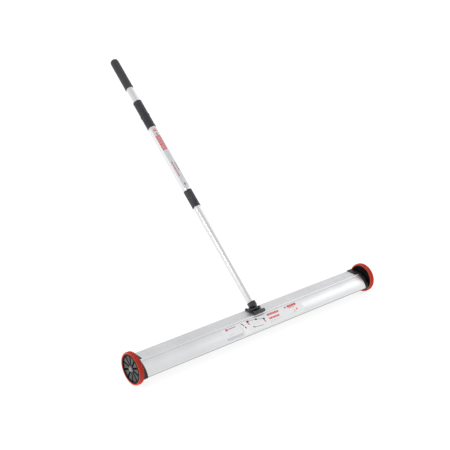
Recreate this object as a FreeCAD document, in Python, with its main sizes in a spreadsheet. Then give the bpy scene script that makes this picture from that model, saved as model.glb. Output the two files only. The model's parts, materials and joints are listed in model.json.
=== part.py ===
import FreeCAD, Part
import math
import os

import Sketcher
from FreeCAD import Placement, Rotation, Vector

# Magnetic nail sweeper, millimetres.
# X runs along the axle, -Y is the front, +Z is up.
# The origin is on the floor, midway between the wheels and straight below the axle.
# The handle is drawn at the lean in which it is held, measured back from vertical.

SIZES = [
    ("wheel_dia", 100, "outside of the tyre"),
    ("wheel_width", 16, "rim and tyre, across"),
    ("track_half", 489, "middle plane to the outside of a wheel"),
    ("tyre_depth", 5.5, "tyre, radially"),
    ("tyre_shoulder", 2.3, "chamfer of the tyre's shoulders"),
    ("rim_depth", 5, "hub rim, radially"),
    ("hub_web", 3.5, "hub disc thickness"),
    ("hub_recess", 3.2, "wedge panels below the outer face of the rim"),
    ("panel_height", 5, "wedge panels above the hub disc"),
    ("hub_boss_dia", 24, "hub boss outside"),
    ("hub_edge", 1, "chamfer on the outer corners of the rim"),
    ("spoke_count", 10, "raised panels on the hub disc"),
    ("spoke_gap", 4.2, "slot between two panels"),
    ("bush_dia", 12, "wheel bushing outside"),
    ("axle_dia", 8, "axle bolt shank"),
    ("axle_head_dia", 15, "axle bolt dome"),
    ("play", 0.06, "running clearance, radially"),
    ("gap", 0.3, "clearance between pieces that only pass each other"),
    ("body_length", 914.4, "extruded profile"),
    ("skin", 2.2, "wall of the profile"),
    ("band_z", 69, "height of the flat top band"),
    ("rear_y", 41.5, "rear face of the profile"),
    ("belly_z", 13.4, "height of the underside"),
    ("belly_front_y", -18, "front edge of the underside"),
    ("belly_rear_y", 33, "rear edge of the underside"),
    ("front_bulge", 57, "radius of the front face"),
    ("nose_y", -41.8, "foremost end of the front face"),
    ("nose_z", 33.5, "height of the nose"),
    ("nose_radius", 6, "rounding under the nose"),
    ("ridge_y", -3, "middle of the ridge bead"),
    ("ridge_half", 3.4, "half the width of the ridge bead"),
    ("ridge_radius", 4.2, "rounding of the ridge bead"),
    ("shelf_z", 32, "underside of the shelf above the magnets"),
    ("channel_front_y", -16, "front wall of the magnet channel"),
    ("channel_rear_y", 30.5, "rear wall of the magnet channel"),
    ("port_dia", 3.8, "screw port in the profile"),
    ("groove_pitch", 8.5, "spacing of the fine grooves on the band"),
    ("groove_width", 1.6, "fine groove across"),
    ("groove_depth", 0.5, "fine groove depth"),
    ("magnet_count", 12, "magnet blocks in the row"),
    ("magnet_length", 72, "one magnet along the row"),
    ("magnet_height", 12, "one magnet, vertically"),
    ("keeper_height", 3, "steel plate above the magnets"),
    ("cap_thickness", 13.4, "end cap beyond the profile"),
    ("cap_proud", 1.5, "end cap beyond the profile's outline"),
    ("cap_wall", 2.4, "walls of the end cap"),
    ("cap_floor", 3, "web of the end cap"),
    ("cap_lip", 9.5, "top lip of the end cap over the band"),
    ("cap_boss_dia", 22, "axle boss of the end cap"),
    ("handle_x", -2, "handle plane"),
    ("pivot_y", 19.4, "handle pivot"),
    ("pivot_z", 76.8, "handle pivot"),
    ("handle_lean", 49, "lean back from vertical, degrees"),
    ("saddle_left_x", -22, "bracket saddle"),
    ("saddle_width", 46, "bracket saddle along the axle"),
    ("saddle_height", 2.5, "bracket saddle plate"),
    ("lug_width", 4.5, "raised corners at the saddle's rear, along the axle"),
    ("lug_height", 3.5, "raised corners at the saddle's rear"),
    ("ear_radius", 5.5, "pivot ear"),
    ("ear_width", 5, "pivot ear along the axle"),
    ("fork_half", 13.5, "half the space between the ears"),
    ("bolt_dia", 5, "pivot bolt shank"),
    ("saddle_screw_dia", 4, "screws through the saddle"),
    ("socket_screw_dia", 3.6, "screw through the socket"),
    ("rivet_dia", 3.2, "rivets through the coupler"),
    ("clamp_bar_radius", 6.2, "rounded bar along the ridge"),
    ("socket_dia", 28.8, "tube socket"),
    ("socket_start", 10.5, "full socket begins, from the pivot"),
    ("socket_end", 23.8, "socket mouth, from the pivot"),
    ("barrel_radius", 5, "socket's hinge barrel"),
    ("flute_count", 12, "flutes round the socket"),
    ("lower_dia", 25.4, "lower tube"),
    ("lower_wall", 1.5, "lower tube wall"),
    ("lower_end", 428, "end of the lower tube, from the pivot"),
    ("coupler_start", 395.4, "coupler, from the pivot"),
    ("coupler_end", 461.2, "coupler, from the pivot"),
    ("coupler_dia", 30.4, "coupler outside"),
    ("middle_dia", 28, "middle tube"),
    ("middle_wall", 1.2, "middle tube wall"),
    ("middle_start", 431, "middle tube, from the pivot"),
    ("middle_end", 741.2, "middle tube, from the pivot"),
    ("lock_start", 725.6, "twist lock, from the pivot"),
    ("lock_joint", 779.6, "seam between the lock's two halves"),
    ("lock_end", 839.1, "twist lock, from the pivot"),
    ("lock_foot_dia", 32.2, "lock base at its foot"),
    ("lock_base_dia", 34, "flange of the lock base at the seam"),
    ("lock_sleeve_dia", 31.4, "turning sleeve"),
    ("lock_nose_end", 794.2, "threaded nose inside the sleeve"),
    ("collet_start", 797.2, "collet, from the pivot"),
    ("collet_end", 821.1, "collet, from the pivot"),
    ("upper_dia", 25, "upper tube"),
    ("upper_wall", 1.3, "upper tube wall"),
    ("upper_start", 512, "hidden end of the upper tube"),
    ("upper_end", 1009.6, "end of the upper tube inside the grip"),
    ("grip_start", 899.1, "grip, from the pivot"),
    ("grip_end", 1027.6, "grip, from the pivot"),
    ("grip_dia", 30.6, "grip outside"),
    ("film", 0.15, "label film"),
    ("label_half", 165, "half the length of the housing label"),
    ("tube_label_start", 468.6, "tube label, from the pivot"),
    ("tube_label_end", 719.6, "tube label, from the pivot"),
]

# Places that several pieces share: the screw ports in the profile's section (Y, Z),
# the saddle's screws (X) and their line between two grooves (Y), and the coupler's rivets (along the handle).
PORTS = [
    ("Sizes.rear_y - 6.6", "Sizes.belly_z + 12.6"),
    ("Sizes.rear_y - 7.5", "Sizes.band_z - 7.5"),
    ("Sizes.nose_y + 7", "Sizes.nose_z - 0.6"),
]
SADDLE_SCREWS_X = ["Sizes.handle_x - 8", "Sizes.handle_x + 8"]
SADDLE_SCREWS_Y = "Sizes.rear_y - 3.5 * Sizes.groove_pitch"
SOCKET_SCREW_HEIGHT = "Sizes.socket_end - 7"
RIVET_HEIGHTS = ["Sizes.coupler_start + 17", "Sizes.coupler_end - 15"]
THROUGH = 60

doc = FreeCAD.newDocument("nail_sweeper")
sheet = doc.addObject("Spreadsheet::Sheet", "Sizes")
for row, (alias, value, note) in enumerate(SIZES, start=1):
    sheet.set(f"A{row}", alias)
    sheet.set(f"B{row}", str(value))
    sheet.set(f"C{row}", note)
    sheet.setAlias(f"B{row}", alias)
doc.recompute()

PARTS = []


def size(expression):
    """Value in millimetres of an expression of the sheet's cells."""
    return float(sheet.evalExpression(str(expression)))


def keep(piece, label):
    """Name a finished sub-part and put it on the list that is written out."""
    piece.Label = label
    PARTS.append(piece)


def place(piece, x=0, y=0, z=0, axis=Vector(0, 0, 1), angle=0):
    """Bind a piece's place, and its turn about one axis, to expressions."""
    piece.Placement = Placement(Vector(size(x), size(y), size(z)), Rotation(axis, size(angle)))
    for name, value in zip("xyz", (x, y, z)):
        piece.setExpression(f"Placement.Base.{name}", str(value))
    piece.setExpression("Placement.Rotation.Angle", str(angle))


def on_handle(piece):
    """Stand a piece drawn along +Z on the handle's line, with Z = 0 at the pivot."""
    place(piece, "Sizes.handle_x", "Sizes.pivot_y", "Sizes.pivot_z",
          Vector(1, 0, 0), "-Sizes.handle_lean")


def on_axle(piece, side):
    """Lay a piece drawn along +Z on the axle's line, towards the given side."""
    place(piece, 0, 0, "Sizes.wheel_dia / 2", Vector(0, 1, 0), 90 * side)


def new_body(name):
    return doc.addObject("PartDesign::Body", name)


def sketch_on(body, role, offset=0):
    """Sketch on one of the body's own origin planes, moved along its normal."""
    sketch = body.newObject("Sketcher::SketchObject", "outline")
    plane = [item for item in body.Origin.OriginFeatures if item.Role == role][0]
    sketch.AttachmentSupport = [(plane, "")]
    sketch.MapMode = "FlatFace"
    sketch.setExpression("AttachmentOffset.Base.z", str(offset))
    return sketch


def pin(sketch, geometry, point, u, v):
    """Hold one point of a sketch at the place that two expressions give."""
    for kind, value in (("DistanceX", u), ("DistanceY", v)):
        index = sketch.addConstraint(Sketcher.Constraint(kind, -1, 1, geometry, point, size(value)))
        sketch.setExpression(f"Constraints[{index}]", str(value))


def draw_outline(sketch, corners):
    """Closed outline, counter-clockwise. A corner is (u, v), or (u, v, radius) where
    the edge that leaves it is an outward arc of that radius."""
    count = len(corners)
    points = [Vector(size(corner[0]), size(corner[1]), 0) for corner in corners]
    for index, corner in enumerate(corners):
        start = points[index]
        end = points[(index + 1) % count]
        if len(corner) == 2:
            edge = sketch.addGeometry(Part.LineSegment(start, end))
        else:
            edge = sketch.addGeometry(outward_arc(start, end, size(corner[2])))
            bend = sketch.addConstraint(Sketcher.Constraint("Radius", edge, size(corner[2])))
            sketch.setExpression(f"Constraints[{bend}]", str(corner[2]))
        pin(sketch, edge, 1, corner[0], corner[1])
    first = sketch.GeometryCount - count
    for index in range(count):
        sketch.addConstraint(Sketcher.Constraint(
            "Coincident", first + index, 2, first + (index + 1) % count, 1))


def outward_arc(start, end, radius):
    """Arc from start to end, counter-clockwise round its centre."""
    chord = end - start
    half = chord.Length / 2
    left = Vector(-chord.y, chord.x, 0).normalize()
    centre = (start + end) / 2 + left * math.sqrt(radius ** 2 - half ** 2)
    first = math.atan2(start.y - centre.y, start.x - centre.x)
    last = math.atan2(end.y - centre.y, end.x - centre.x)
    if last < first:
        last += 2 * math.pi
    return Part.ArcOfCircle(Part.Circle(centre, Vector(0, 0, 1), radius), first, last)


def draw_circle(sketch, u, v, radius):
    """Circle with its centre and radius bound to expressions."""
    circle = Part.Circle(Vector(size(u), size(v), 0), Vector(0, 0, 1), size(radius))
    edge = sketch.addGeometry(circle)
    pin(sketch, edge, 3, u, v)
    index = sketch.addConstraint(Sketcher.Constraint("Radius", edge, size(radius)))
    sketch.setExpression(f"Constraints[{index}]", str(radius))


def pad(body, sketch, length, reverse=False, symmetric=False):
    feature = body.newObject("PartDesign::Pad", "pad")
    feature.Profile = sketch
    feature.Reversed = reverse
    if symmetric:
        feature.SideType = "Symmetric"
    feature.setExpression("Length", str(length))
    doc.recompute()
    return feature


def pocket(body, sketch, length, reverse=False, symmetric=False):
    """Pocket that has to remove material."""
    before = body.Shape.Volume
    feature = body.newObject("PartDesign::Pocket", "pocket")
    feature.Profile = sketch
    feature.Reversed = reverse
    if symmetric:
        feature.SideType = "Symmetric"
    feature.setExpression("Length", str(length))
    doc.recompute()
    if body.Shape.Volume >= before:
        raise RuntimeError(f"{body.Name}: a pocket removes nothing")
    return feature


def revolve(body, sketch):
    """Turn a sketch of the XZ plane about the body's Z axis."""
    feature = body.newObject("PartDesign::Revolution", "turning")
    feature.Profile = sketch
    feature.ReferenceAxis = (sketch, ["V_Axis"])
    feature.Angle = 360
    doc.recompute()
    return feature


def around(body, feature, count):
    """Repeat a feature round the body's Z axis."""
    axis = [item for item in body.Origin.OriginFeatures if item.Role == "Z_Axis"][0]
    pattern = body.newObject("PartDesign::PolarPattern", "pattern")
    pattern.Originals = [feature]
    pattern.Axis = (axis, [""])
    pattern.Angle = 360
    pattern.setExpression("Occurrences", str(count))
    body.Tip = pattern
    doc.recompute()


def turned(name, corners):
    """Body of revolution about Z; corners are (radius, height)."""
    body = new_body(name)
    sketch = sketch_on(body, "XZ_Plane")
    draw_outline(sketch, corners)
    revolve(body, sketch)
    return body


def ring(name, inner, outer, low, high):
    """Plain tube or washer along Z."""
    return turned(name, [(inner, low), (outer, low), (outer, high), (inner, high)])


def hexagon(flats):
    """Corners of a hexagon about the sketch's origin, from its width across flats."""
    reach = f"({flats}) / sqrt(3)"
    return [(f"{reach} * cos({60 * turn})", f"{reach} * sin({60 * turn})") for turn in range(6)]


def grown_section(grow):
    """The profile's outline without its ridge, moved outward by an expression."""
    return [
        (f"Sizes.belly_front_y - 0.45 * ({grow})", f"Sizes.belly_z - ({grow})"),
        (f"Sizes.belly_rear_y + 0.4 * ({grow})", f"Sizes.belly_z - ({grow})"),
        (f"Sizes.rear_y + ({grow})", f"Sizes.belly_z + Sizes.rear_y - Sizes.belly_rear_y - 0.4 * ({grow})"),
        (f"Sizes.rear_y + ({grow})", f"Sizes.band_z + ({grow})"),
        (f"Sizes.ridge_y - Sizes.ridge_half - 0.5 * ({grow})", f"Sizes.band_z + ({grow})"),
        (f"Sizes.ridge_y - Sizes.ridge_half - 1.5 - 0.6 * ({grow})",
         f"Sizes.band_z - 2.4 + 0.8 * ({grow})", f"Sizes.front_bulge + ({grow})"),
        (f"Sizes.nose_y - ({grow})", f"Sizes.nose_z", f"Sizes.nose_radius + ({grow})"),
        (f"Sizes.nose_y + 2.2 - 0.6 * ({grow})", f"Sizes.nose_z - 5.2 - 0.8 * ({grow})"),
    ]


# Sweeper head

def band_corners():
    """Top of the profile from the rear edge forward: fine grooves, then the ridge bead."""
    corners = []
    for groove in range(4):
        middle = f"Sizes.rear_y - {groove + 0.8} * Sizes.groove_pitch"
        corners += [
            (f"{middle} + Sizes.groove_width / 2", "Sizes.band_z"),
            (f"{middle} + Sizes.groove_width / 4", "Sizes.band_z - Sizes.groove_depth"),
            (f"{middle} - Sizes.groove_width / 4", "Sizes.band_z - Sizes.groove_depth"),
            (f"{middle} - Sizes.groove_width / 2", "Sizes.band_z"),
        ]
    foot = "Sizes.ridge_y + Sizes.ridge_half"
    lip = "Sizes.ridge_y - Sizes.ridge_half"
    corners += [
        (f"{foot} + 1.2", "Sizes.band_z"),
        (f"{foot} + 0.6", "Sizes.band_z - 0.7"),
        (foot, "Sizes.band_z", "Sizes.ridge_radius"),
        (lip, "Sizes.band_z - 0.4"),
        (f"{lip} - 0.3", "Sizes.band_z - 2.6"),
    ]
    return corners


def housing_extrusion():
    body = new_body("housing_extrusion")
    section = sketch_on(body, "YZ_Plane")
    outline = grown_section(0)
    belly_and_rear, face_and_nose = outline[:3], outline[5:]
    rear_edge = [("Sizes.rear_y", "Sizes.band_z - 1.2"), ("Sizes.rear_y - 1.2", "Sizes.band_z")]
    draw_outline(section, belly_and_rear + rear_edge + band_corners() + face_and_nose)
    upper_floor = "Sizes.shelf_z + Sizes.skin"
    draw_outline(section, [
        ("Sizes.nose_y + 15", upper_floor),
        ("Sizes.rear_y - Sizes.skin", upper_floor),
        ("Sizes.rear_y - Sizes.skin", "Sizes.band_z - 18"),
        ("Sizes.rear_y - 18", "Sizes.band_z - Sizes.skin - 0.6"),
        ("Sizes.ridge_y - Sizes.ridge_half + 1", "Sizes.band_z - Sizes.skin - 0.6"),
        ("Sizes.ridge_y - Sizes.ridge_half - 2.4", "Sizes.band_z - Sizes.skin - 2.6",
         "Sizes.front_bulge - Sizes.skin"),
        ("Sizes.nose_y + 5.2", "Sizes.nose_z + 6.4"),
    ])
    draw_outline(section, [
        ("Sizes.channel_front_y", "Sizes.belly_z + Sizes.skin"),
        ("Sizes.channel_rear_y", "Sizes.belly_z + Sizes.skin"),
        ("Sizes.channel_rear_y", "Sizes.shelf_z"),
        ("Sizes.channel_front_y", "Sizes.shelf_z"),
    ])
    for y, z in PORTS:
        draw_circle(section, y, z, "Sizes.port_dia / 2")
    pad(body, section, "Sizes.body_length", symmetric=True)
    holes = sketch_on(body, "XY_Plane", "Sizes.band_z + 1")
    for x in SADDLE_SCREWS_X:
        draw_circle(holes, x, SADDLE_SCREWS_Y, "Sizes.saddle_screw_dia / 2 + Sizes.play")
    pocket(body, holes, "Sizes.skin + 4")
    keep(body, "housing_extrusion")


def magnets():
    """Row of separate blocks along the bottom channel."""
    row = []
    for index in range(int(size("Sizes.magnet_count"))):
        block = doc.addObject("Part::Box", "magnet")
        block.setExpression("Length", "Sizes.magnet_length")
        block.setExpression("Width", "Sizes.channel_rear_y - Sizes.channel_front_y - 1")
        block.setExpression("Height", "Sizes.magnet_height")
        place(block, f"({index} - Sizes.magnet_count / 2) * (Sizes.magnet_length + 1) + 0.5",
              "Sizes.channel_front_y + 0.5", "Sizes.belly_z + Sizes.skin + Sizes.gap / 3")
        row.append(block)
    group = doc.addObject("Part::Compound", "magnets")
    group.Links = row
    keep(group, "magnets")


def magnet_backing_plate():
    plate = doc.addObject("Part::Box", "keeper")
    plate.setExpression("Length", "Sizes.body_length - 20")
    plate.setExpression("Width", "Sizes.channel_rear_y - Sizes.channel_front_y - 1")
    plate.setExpression("Height", "Sizes.keeper_height")
    place(plate, "10 - Sizes.body_length / 2", "Sizes.channel_front_y + 0.5",
          "Sizes.belly_z + Sizes.skin + Sizes.magnet_height + 0.3")
    keep(plate, "magnet_backing_plate")


def housing_label():
    """Film on the middle of the front face, following its curve."""
    body = new_body("housing_label")
    section = sketch_on(body, "YZ_Plane")
    lip = "Sizes.ridge_y - Sizes.ridge_half - 1.5"
    outer = "Sizes.front_bulge + Sizes.film"
    top = size(lip), size("Sizes.band_z - 2.4")
    foot = size("Sizes.nose_y"), size("Sizes.nose_z")
    face = outward_arc(Vector(*top), Vector(*foot), size("Sizes.front_bulge"))
    centre = face.Center
    top_margin = 2.5
    nose_margin = 4
    start = math.degrees(face.FirstParameter) + top_margin
    end = math.degrees(face.LastParameter) - nose_margin
    add_sector(section, centre, "Sizes.front_bulge", outer, start, end)
    pad(body, section, "2 * Sizes.label_half", symmetric=True)
    keep(body, "housing_label")


def add_sector(sketch, centre, inner, outer, start, end):
    """Thin sector between two arcs about one centre, angles in degrees."""
    arcs = []
    for radius in (inner, outer):
        circle = Part.Circle(Vector(centre), Vector(0, 0, 1), size(radius))
        arc = Part.ArcOfCircle(circle, math.radians(start), math.radians(end))
        edge = sketch.addGeometry(arc)
        pin(sketch, edge, 3, centre.x, centre.y)
        index = sketch.addConstraint(Sketcher.Constraint("Radius", edge, size(radius)))
        sketch.setExpression(f"Constraints[{index}]", str(radius))
        arcs.append((edge, arc))
    for point, which, angle in ((1, "StartPoint", start), (2, "EndPoint", end)):
        near, far = (getattr(arc, which) for _, arc in arcs)
        side = sketch.addGeometry(Part.LineSegment(near, far))
        steep = abs(math.sin(math.radians(angle))) > math.sqrt(0.5)
        for edge_end, (edge, arc) in enumerate(arcs, start=1):
            place_on_arc = getattr(arc, which)
            kind = "DistanceX" if steep else "DistanceY"
            value = place_on_arc.x if steep else place_on_arc.y
            sketch.addConstraint(Sketcher.Constraint(kind, -1, 1, edge, point, value))
            sketch.addConstraint(Sketcher.Constraint("Coincident", side, edge_end, edge, point))


# Ends of the head, made on the right and mirrored to the left

def mirrored(source, label):
    """The same piece on the left."""
    twin = doc.addObject("Part::Mirroring", label)
    twin.Source = source
    twin.Normal = Vector(1, 0, 0)
    twin.Base = Vector(0, 0, 0)
    keep(twin, label)


def end_cap():
    """Moulded cap: lipped plate, hollow outside, with the axle boss."""
    body = new_body("cap")
    plate = sketch_on(body, "YZ_Plane", "Sizes.body_length / 2")
    draw_outline(plate, grown_section("Sizes.cap_proud"))
    pad(body, plate, "Sizes.cap_thickness")
    lip = sketch_on(body, "YZ_Plane", "Sizes.body_length / 2 - Sizes.cap_lip")
    draw_outline(lip, [
        ("Sizes.ridge_y + Sizes.ridge_half + 1.6", "Sizes.band_z"),
        ("Sizes.rear_y", "Sizes.band_z"),
        ("Sizes.rear_y", "Sizes.band_z - 6"),
        ("Sizes.rear_y + Sizes.cap_proud", "Sizes.band_z - 6"),
        ("Sizes.rear_y + Sizes.cap_proud", "Sizes.band_z + Sizes.cap_proud"),
        ("Sizes.ridge_y + Sizes.ridge_half + 1.6", "Sizes.band_z + Sizes.cap_proud"),
    ])
    pad(body, lip, "Sizes.cap_lip + 1")
    hollow = sketch_on(body, "YZ_Plane", "Sizes.body_length / 2 + Sizes.cap_thickness")
    draw_outline(hollow, grown_section("Sizes.cap_proud - Sizes.cap_wall"))
    draw_circle(hollow, 0, "Sizes.wheel_dia / 2", "Sizes.cap_boss_dia / 2")
    pocket(body, hollow, "Sizes.cap_thickness - Sizes.cap_floor")
    holes = sketch_on(body, "YZ_Plane", "Sizes.body_length / 2 + Sizes.cap_thickness")
    draw_circle(holes, 0, "Sizes.wheel_dia / 2", "Sizes.axle_dia / 2 + Sizes.play")
    for y, z in PORTS:
        draw_circle(holes, y, z, "Sizes.port_dia / 2 + 0.2")
    pocket(body, holes, "Sizes.cap_thickness + 1")
    keep(body, "right_end_cap")
    mirrored(body, "left_end_cap")


def cap_screws():
    """Pan-head screws that hold a cap in the profile's ports."""
    face = "Sizes.body_length / 2 + Sizes.cap_floor"
    screws = []
    for y, z in PORTS:
        body = turned("cap_screw", [
            (0, "-16"),
            ("Sizes.port_dia / 2 - 0.1", "-16"),
            ("Sizes.port_dia / 2 - 0.1", 0),
            (2.8, 0),
            (2.8, 0.9),
            (1.6, 1.9),
            (0, 1.9),
        ])
        place(body, face, y, z, Vector(0, 1, 0), 90)
        screws.append(body)
    group = doc.addObject("Part::Compound", "right_cap_screws")
    group.Links = screws
    keep(group, "right_cap_screws")
    mirrored(group, "left_cap_screws")


def axle_set(side, name):
    """Axle bolt, its washers, and the nut behind the cap; heights run from the middle plane."""
    cap_face = "Sizes.body_length / 2 + Sizes.cap_thickness"
    rim_inside = "(Sizes.track_half - Sizes.wheel_width)"
    hub_face = "(Sizes.track_half - Sizes.hub_recess)"
    shank = "Sizes.axle_dia / 2"
    bolt = turned("axle", [
        (0, "Sizes.body_length / 2 - 11"),
        (shank, "Sizes.body_length / 2 - 11"),
        (shank, f"{hub_face} + 1.4"),
        ("Sizes.axle_head_dia / 2", f"{hub_face} + 1.4"),
        ("Sizes.axle_head_dia / 2", f"{hub_face} + 2.4"),
        ("Sizes.axle_head_dia / 2 - 2", f"{hub_face} + 5"),
        ("Sizes.axle_head_dia / 2 - 5", f"{hub_face} + 6.2"),
        (0, f"{hub_face} + 6.2"),
    ])
    on_axle(bolt, side)
    keep(bolt, f"{name}_axle_bolt")
    washer = ring("washer", f"{shank} + 0.2", 9.5, f"{hub_face} + 0.2", f"{hub_face} + 1.3")
    on_axle(washer, side)
    keep(washer, f"{name}_outer_washer")
    spacer = ring("spacer", f"{shank} + 0.2", 8, f"{cap_face} + 0.1", f"{rim_inside} + 0.7")
    on_axle(spacer, side)
    keep(spacer, f"{name}_inner_washer")
    nut = new_body("nut")
    base = sketch_on(nut, "XY_Plane", "Sizes.body_length / 2 - 7")
    draw_outline(base, hexagon(13))
    draw_circle(base, 0, 0, f"{shank} + 0.05")
    pad(nut, base, 6.8)
    on_axle(nut, side)
    keep(nut, f"{name}_axle_nut")


def wheel(side, name):
    """Hub with raised wedge panels, its bushing, and the tyre."""
    inside = "(Sizes.track_half - Sizes.wheel_width)"
    outside = "Sizes.track_half"
    hub_dia = "(Sizes.wheel_dia - 2 * Sizes.tyre_depth)"
    rim = f"{hub_dia} / 2 - Sizes.rim_depth"
    disc_top = f"{outside} - Sizes.hub_recess - Sizes.panel_height"
    disc_low = f"{disc_top} - Sizes.hub_web"
    boss = "Sizes.hub_boss_dia / 2"
    bore = "Sizes.bush_dia / 2 + Sizes.play"
    boss_low = f"{inside} + Sizes.hub_edge"
    boss_top = f"{outside} - Sizes.hub_recess"
    hub = turned("hub", [
        (bore, boss_low),
        (boss, boss_low),
        (boss, disc_low),
        (rim, disc_low),
        (rim, inside),
        (f"{hub_dia} / 2 - Sizes.hub_edge", inside),
        (f"{hub_dia} / 2", f"{inside} + Sizes.hub_edge"),
        (f"{hub_dia} / 2", f"{outside} - Sizes.hub_edge"),
        (f"{hub_dia} / 2 - Sizes.hub_edge", outside),
        (rim, f"{outside} - Sizes.hub_edge / 2"),
        (rim, disc_top),
        (boss, disc_top),
        (boss, boss_top),
        (bore, boss_top),
    ])
    panel = sketch_on(hub, "XY_Plane", disc_top)
    draw_outline(panel, panel_corners(boss, rim))
    around(hub, pad(hub, panel, "Sizes.panel_height"), "Sizes.spoke_count")
    on_axle(hub, side)
    keep(hub, f"{name}_wheel_hub")
    bush = ring("bush", "Sizes.axle_dia / 2 + Sizes.play", "Sizes.bush_dia / 2",
                f"{inside} + 0.9", f"{boss_top} - 0.1")
    on_axle(bush, side)
    keep(bush, f"{name}_wheel_bushing")
    seat = f"{hub_dia} / 2 + Sizes.play"
    tread = "Sizes.wheel_dia / 2"
    tyre = turned("tyre", [
        (seat, f"{inside} + Sizes.hub_edge"),
        (f"{tread} - Sizes.tyre_shoulder", inside),
        (tread, f"{inside} + Sizes.tyre_shoulder"),
        (tread, f"{outside} - Sizes.tyre_shoulder"),
        (f"{tread} - Sizes.tyre_shoulder", outside),
        (seat, f"{outside} - Sizes.hub_edge"),
    ])
    on_axle(tyre, side)
    keep(tyre, f"{name}_tyre")


def panel_corners(boss, rim):
    """Wedge between two slots: parallel to its neighbours, from the boss to the rim."""
    half = "180 / Sizes.spoke_count"
    inner = f"({boss} - 0.3)"
    outer = f"({rim} + 0.3)"
    inner_y = f"{inner} * sin({half}) - Sizes.spoke_gap / 2"
    outer_y = f"{outer} * sin({half}) - Sizes.spoke_gap / 2"
    return [
        (f"{inner} * cos({half})", f"-({inner_y})"),
        (f"{outer} * cos({half})", f"-({outer_y})", outer),
        (f"{outer} * cos({half})", outer_y),
        (f"{inner} * cos({half})", inner_y),
    ]


# Handle bracket on the head

def bracket_saddle():
    """Plate across the band with a hook over the rear edge, raised rear corners and two pivot ears."""
    body = new_body("saddle")
    side = sketch_on(body, "YZ_Plane", "Sizes.saddle_left_x")
    top = "Sizes.band_z + Sizes.saddle_height"
    draw_outline(side, [
        ("Sizes.ridge_y + 7", "Sizes.band_z"),
        ("Sizes.rear_y + 0.1", "Sizes.band_z"),
        ("Sizes.rear_y + 0.1", "Sizes.band_z - 8"),
        ("Sizes.rear_y + 3", "Sizes.band_z - 8"),
        ("Sizes.rear_y + 3", f"{top} - 2"),
        ("Sizes.rear_y + 1", top),
        ("Sizes.ridge_y + 7", top),
    ])
    pad(body, side, "Sizes.saddle_width")
    for edge in ("Sizes.handle_x - Sizes.fork_half - Sizes.ear_width", "Sizes.handle_x + Sizes.fork_half"):
        ear = sketch_on(body, "YZ_Plane", edge)
        draw_outline(ear, [
            ("Sizes.pivot_y - Sizes.ear_radius - 2", f"{top} - 0.5"),
            ("Sizes.pivot_y + Sizes.ear_radius + 2", f"{top} - 0.5"),
            ("Sizes.pivot_y + Sizes.ear_radius", "Sizes.pivot_z", "Sizes.ear_radius + 0.001"),
            ("Sizes.pivot_y - Sizes.ear_radius", "Sizes.pivot_z"),
        ])
        pad(body, ear, "Sizes.ear_width")
    right_lug = "Sizes.saddle_left_x + Sizes.saddle_width - Sizes.lug_width"
    for edge in ("Sizes.saddle_left_x", right_lug):
        lug = sketch_on(body, "YZ_Plane", edge)
        draw_outline(lug, [
            ("Sizes.rear_y - 4", f"{top} - 0.5"),
            ("Sizes.rear_y + 1", f"{top} - 0.5"),
            ("Sizes.rear_y + 1", f"{top} + Sizes.lug_height - 1"),
            ("Sizes.rear_y", f"{top} + Sizes.lug_height"),
            ("Sizes.rear_y - 3", f"{top} + Sizes.lug_height"),
            ("Sizes.rear_y - 4", f"{top} + Sizes.lug_height - 1"),
        ])
        pad(body, lug, "Sizes.lug_width")
    bore = sketch_on(body, "YZ_Plane")
    draw_circle(bore, "Sizes.pivot_y", "Sizes.pivot_z", "Sizes.bolt_dia / 2 + Sizes.play")
    pocket(body, bore, THROUGH, symmetric=True)
    holes = sketch_on(body, "XY_Plane", f"{top} + 1")
    for x in SADDLE_SCREWS_X:
        draw_circle(holes, x, SADDLE_SCREWS_Y, "Sizes.saddle_screw_dia / 2 + Sizes.play")
    pocket(body, holes, "Sizes.saddle_height + 2")
    keep(body, "bracket_saddle")


def bracket_clamp_bar():
    """Rounded bar over the ridge bead, with a foot that meets the saddle."""
    body = new_body("clamp_bar")
    side = sketch_on(body, "YZ_Plane", "Sizes.saddle_left_x + 2")
    centre_y = "(Sizes.ridge_y - 1.9)"
    centre_z = "(Sizes.band_z + 2.2 + Sizes.clamp_bar_radius)"
    draw_outline(side, [
        ("Sizes.ridge_y + 5", "Sizes.band_z + 0.1"),
        ("Sizes.ridge_y + 6.9", "Sizes.band_z + 0.1"),
        ("Sizes.ridge_y + 6.9", "Sizes.band_z + 5"),
        (f"{centre_y} + Sizes.clamp_bar_radius", centre_z, "Sizes.clamp_bar_radius + 0.001"),
        (f"{centre_y} - Sizes.clamp_bar_radius", centre_z, "Sizes.clamp_bar_radius + 0.5"),
        (f"{centre_y} - 0.5", f"{centre_z} - Sizes.clamp_bar_radius"),
        ("Sizes.ridge_y + 5", "Sizes.band_z + 2.2"),
    ])
    pad(body, side, "Sizes.saddle_width - 8")
    keep(body, "bracket_clamp_bar")


def saddle_screws():
    """Pan-head screws through the saddle into the band."""
    shank = "Sizes.saddle_screw_dia / 2"
    screws = []
    for x in SADDLE_SCREWS_X:
        body = turned("saddle_screw", [
            (0, "-9"), (shank, "-9"), (shank, 0.1), (3.2, 0.1), (3.2, 0.7), (2.4, 1.5), (0, 1.5),
        ])
        place(body, x, SADDLE_SCREWS_Y, "Sizes.band_z + Sizes.saddle_height")
        screws.append(body)
    group = doc.addObject("Part::Compound", "saddle_screws")
    group.Links = screws
    keep(group, "bracket_screws")


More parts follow.
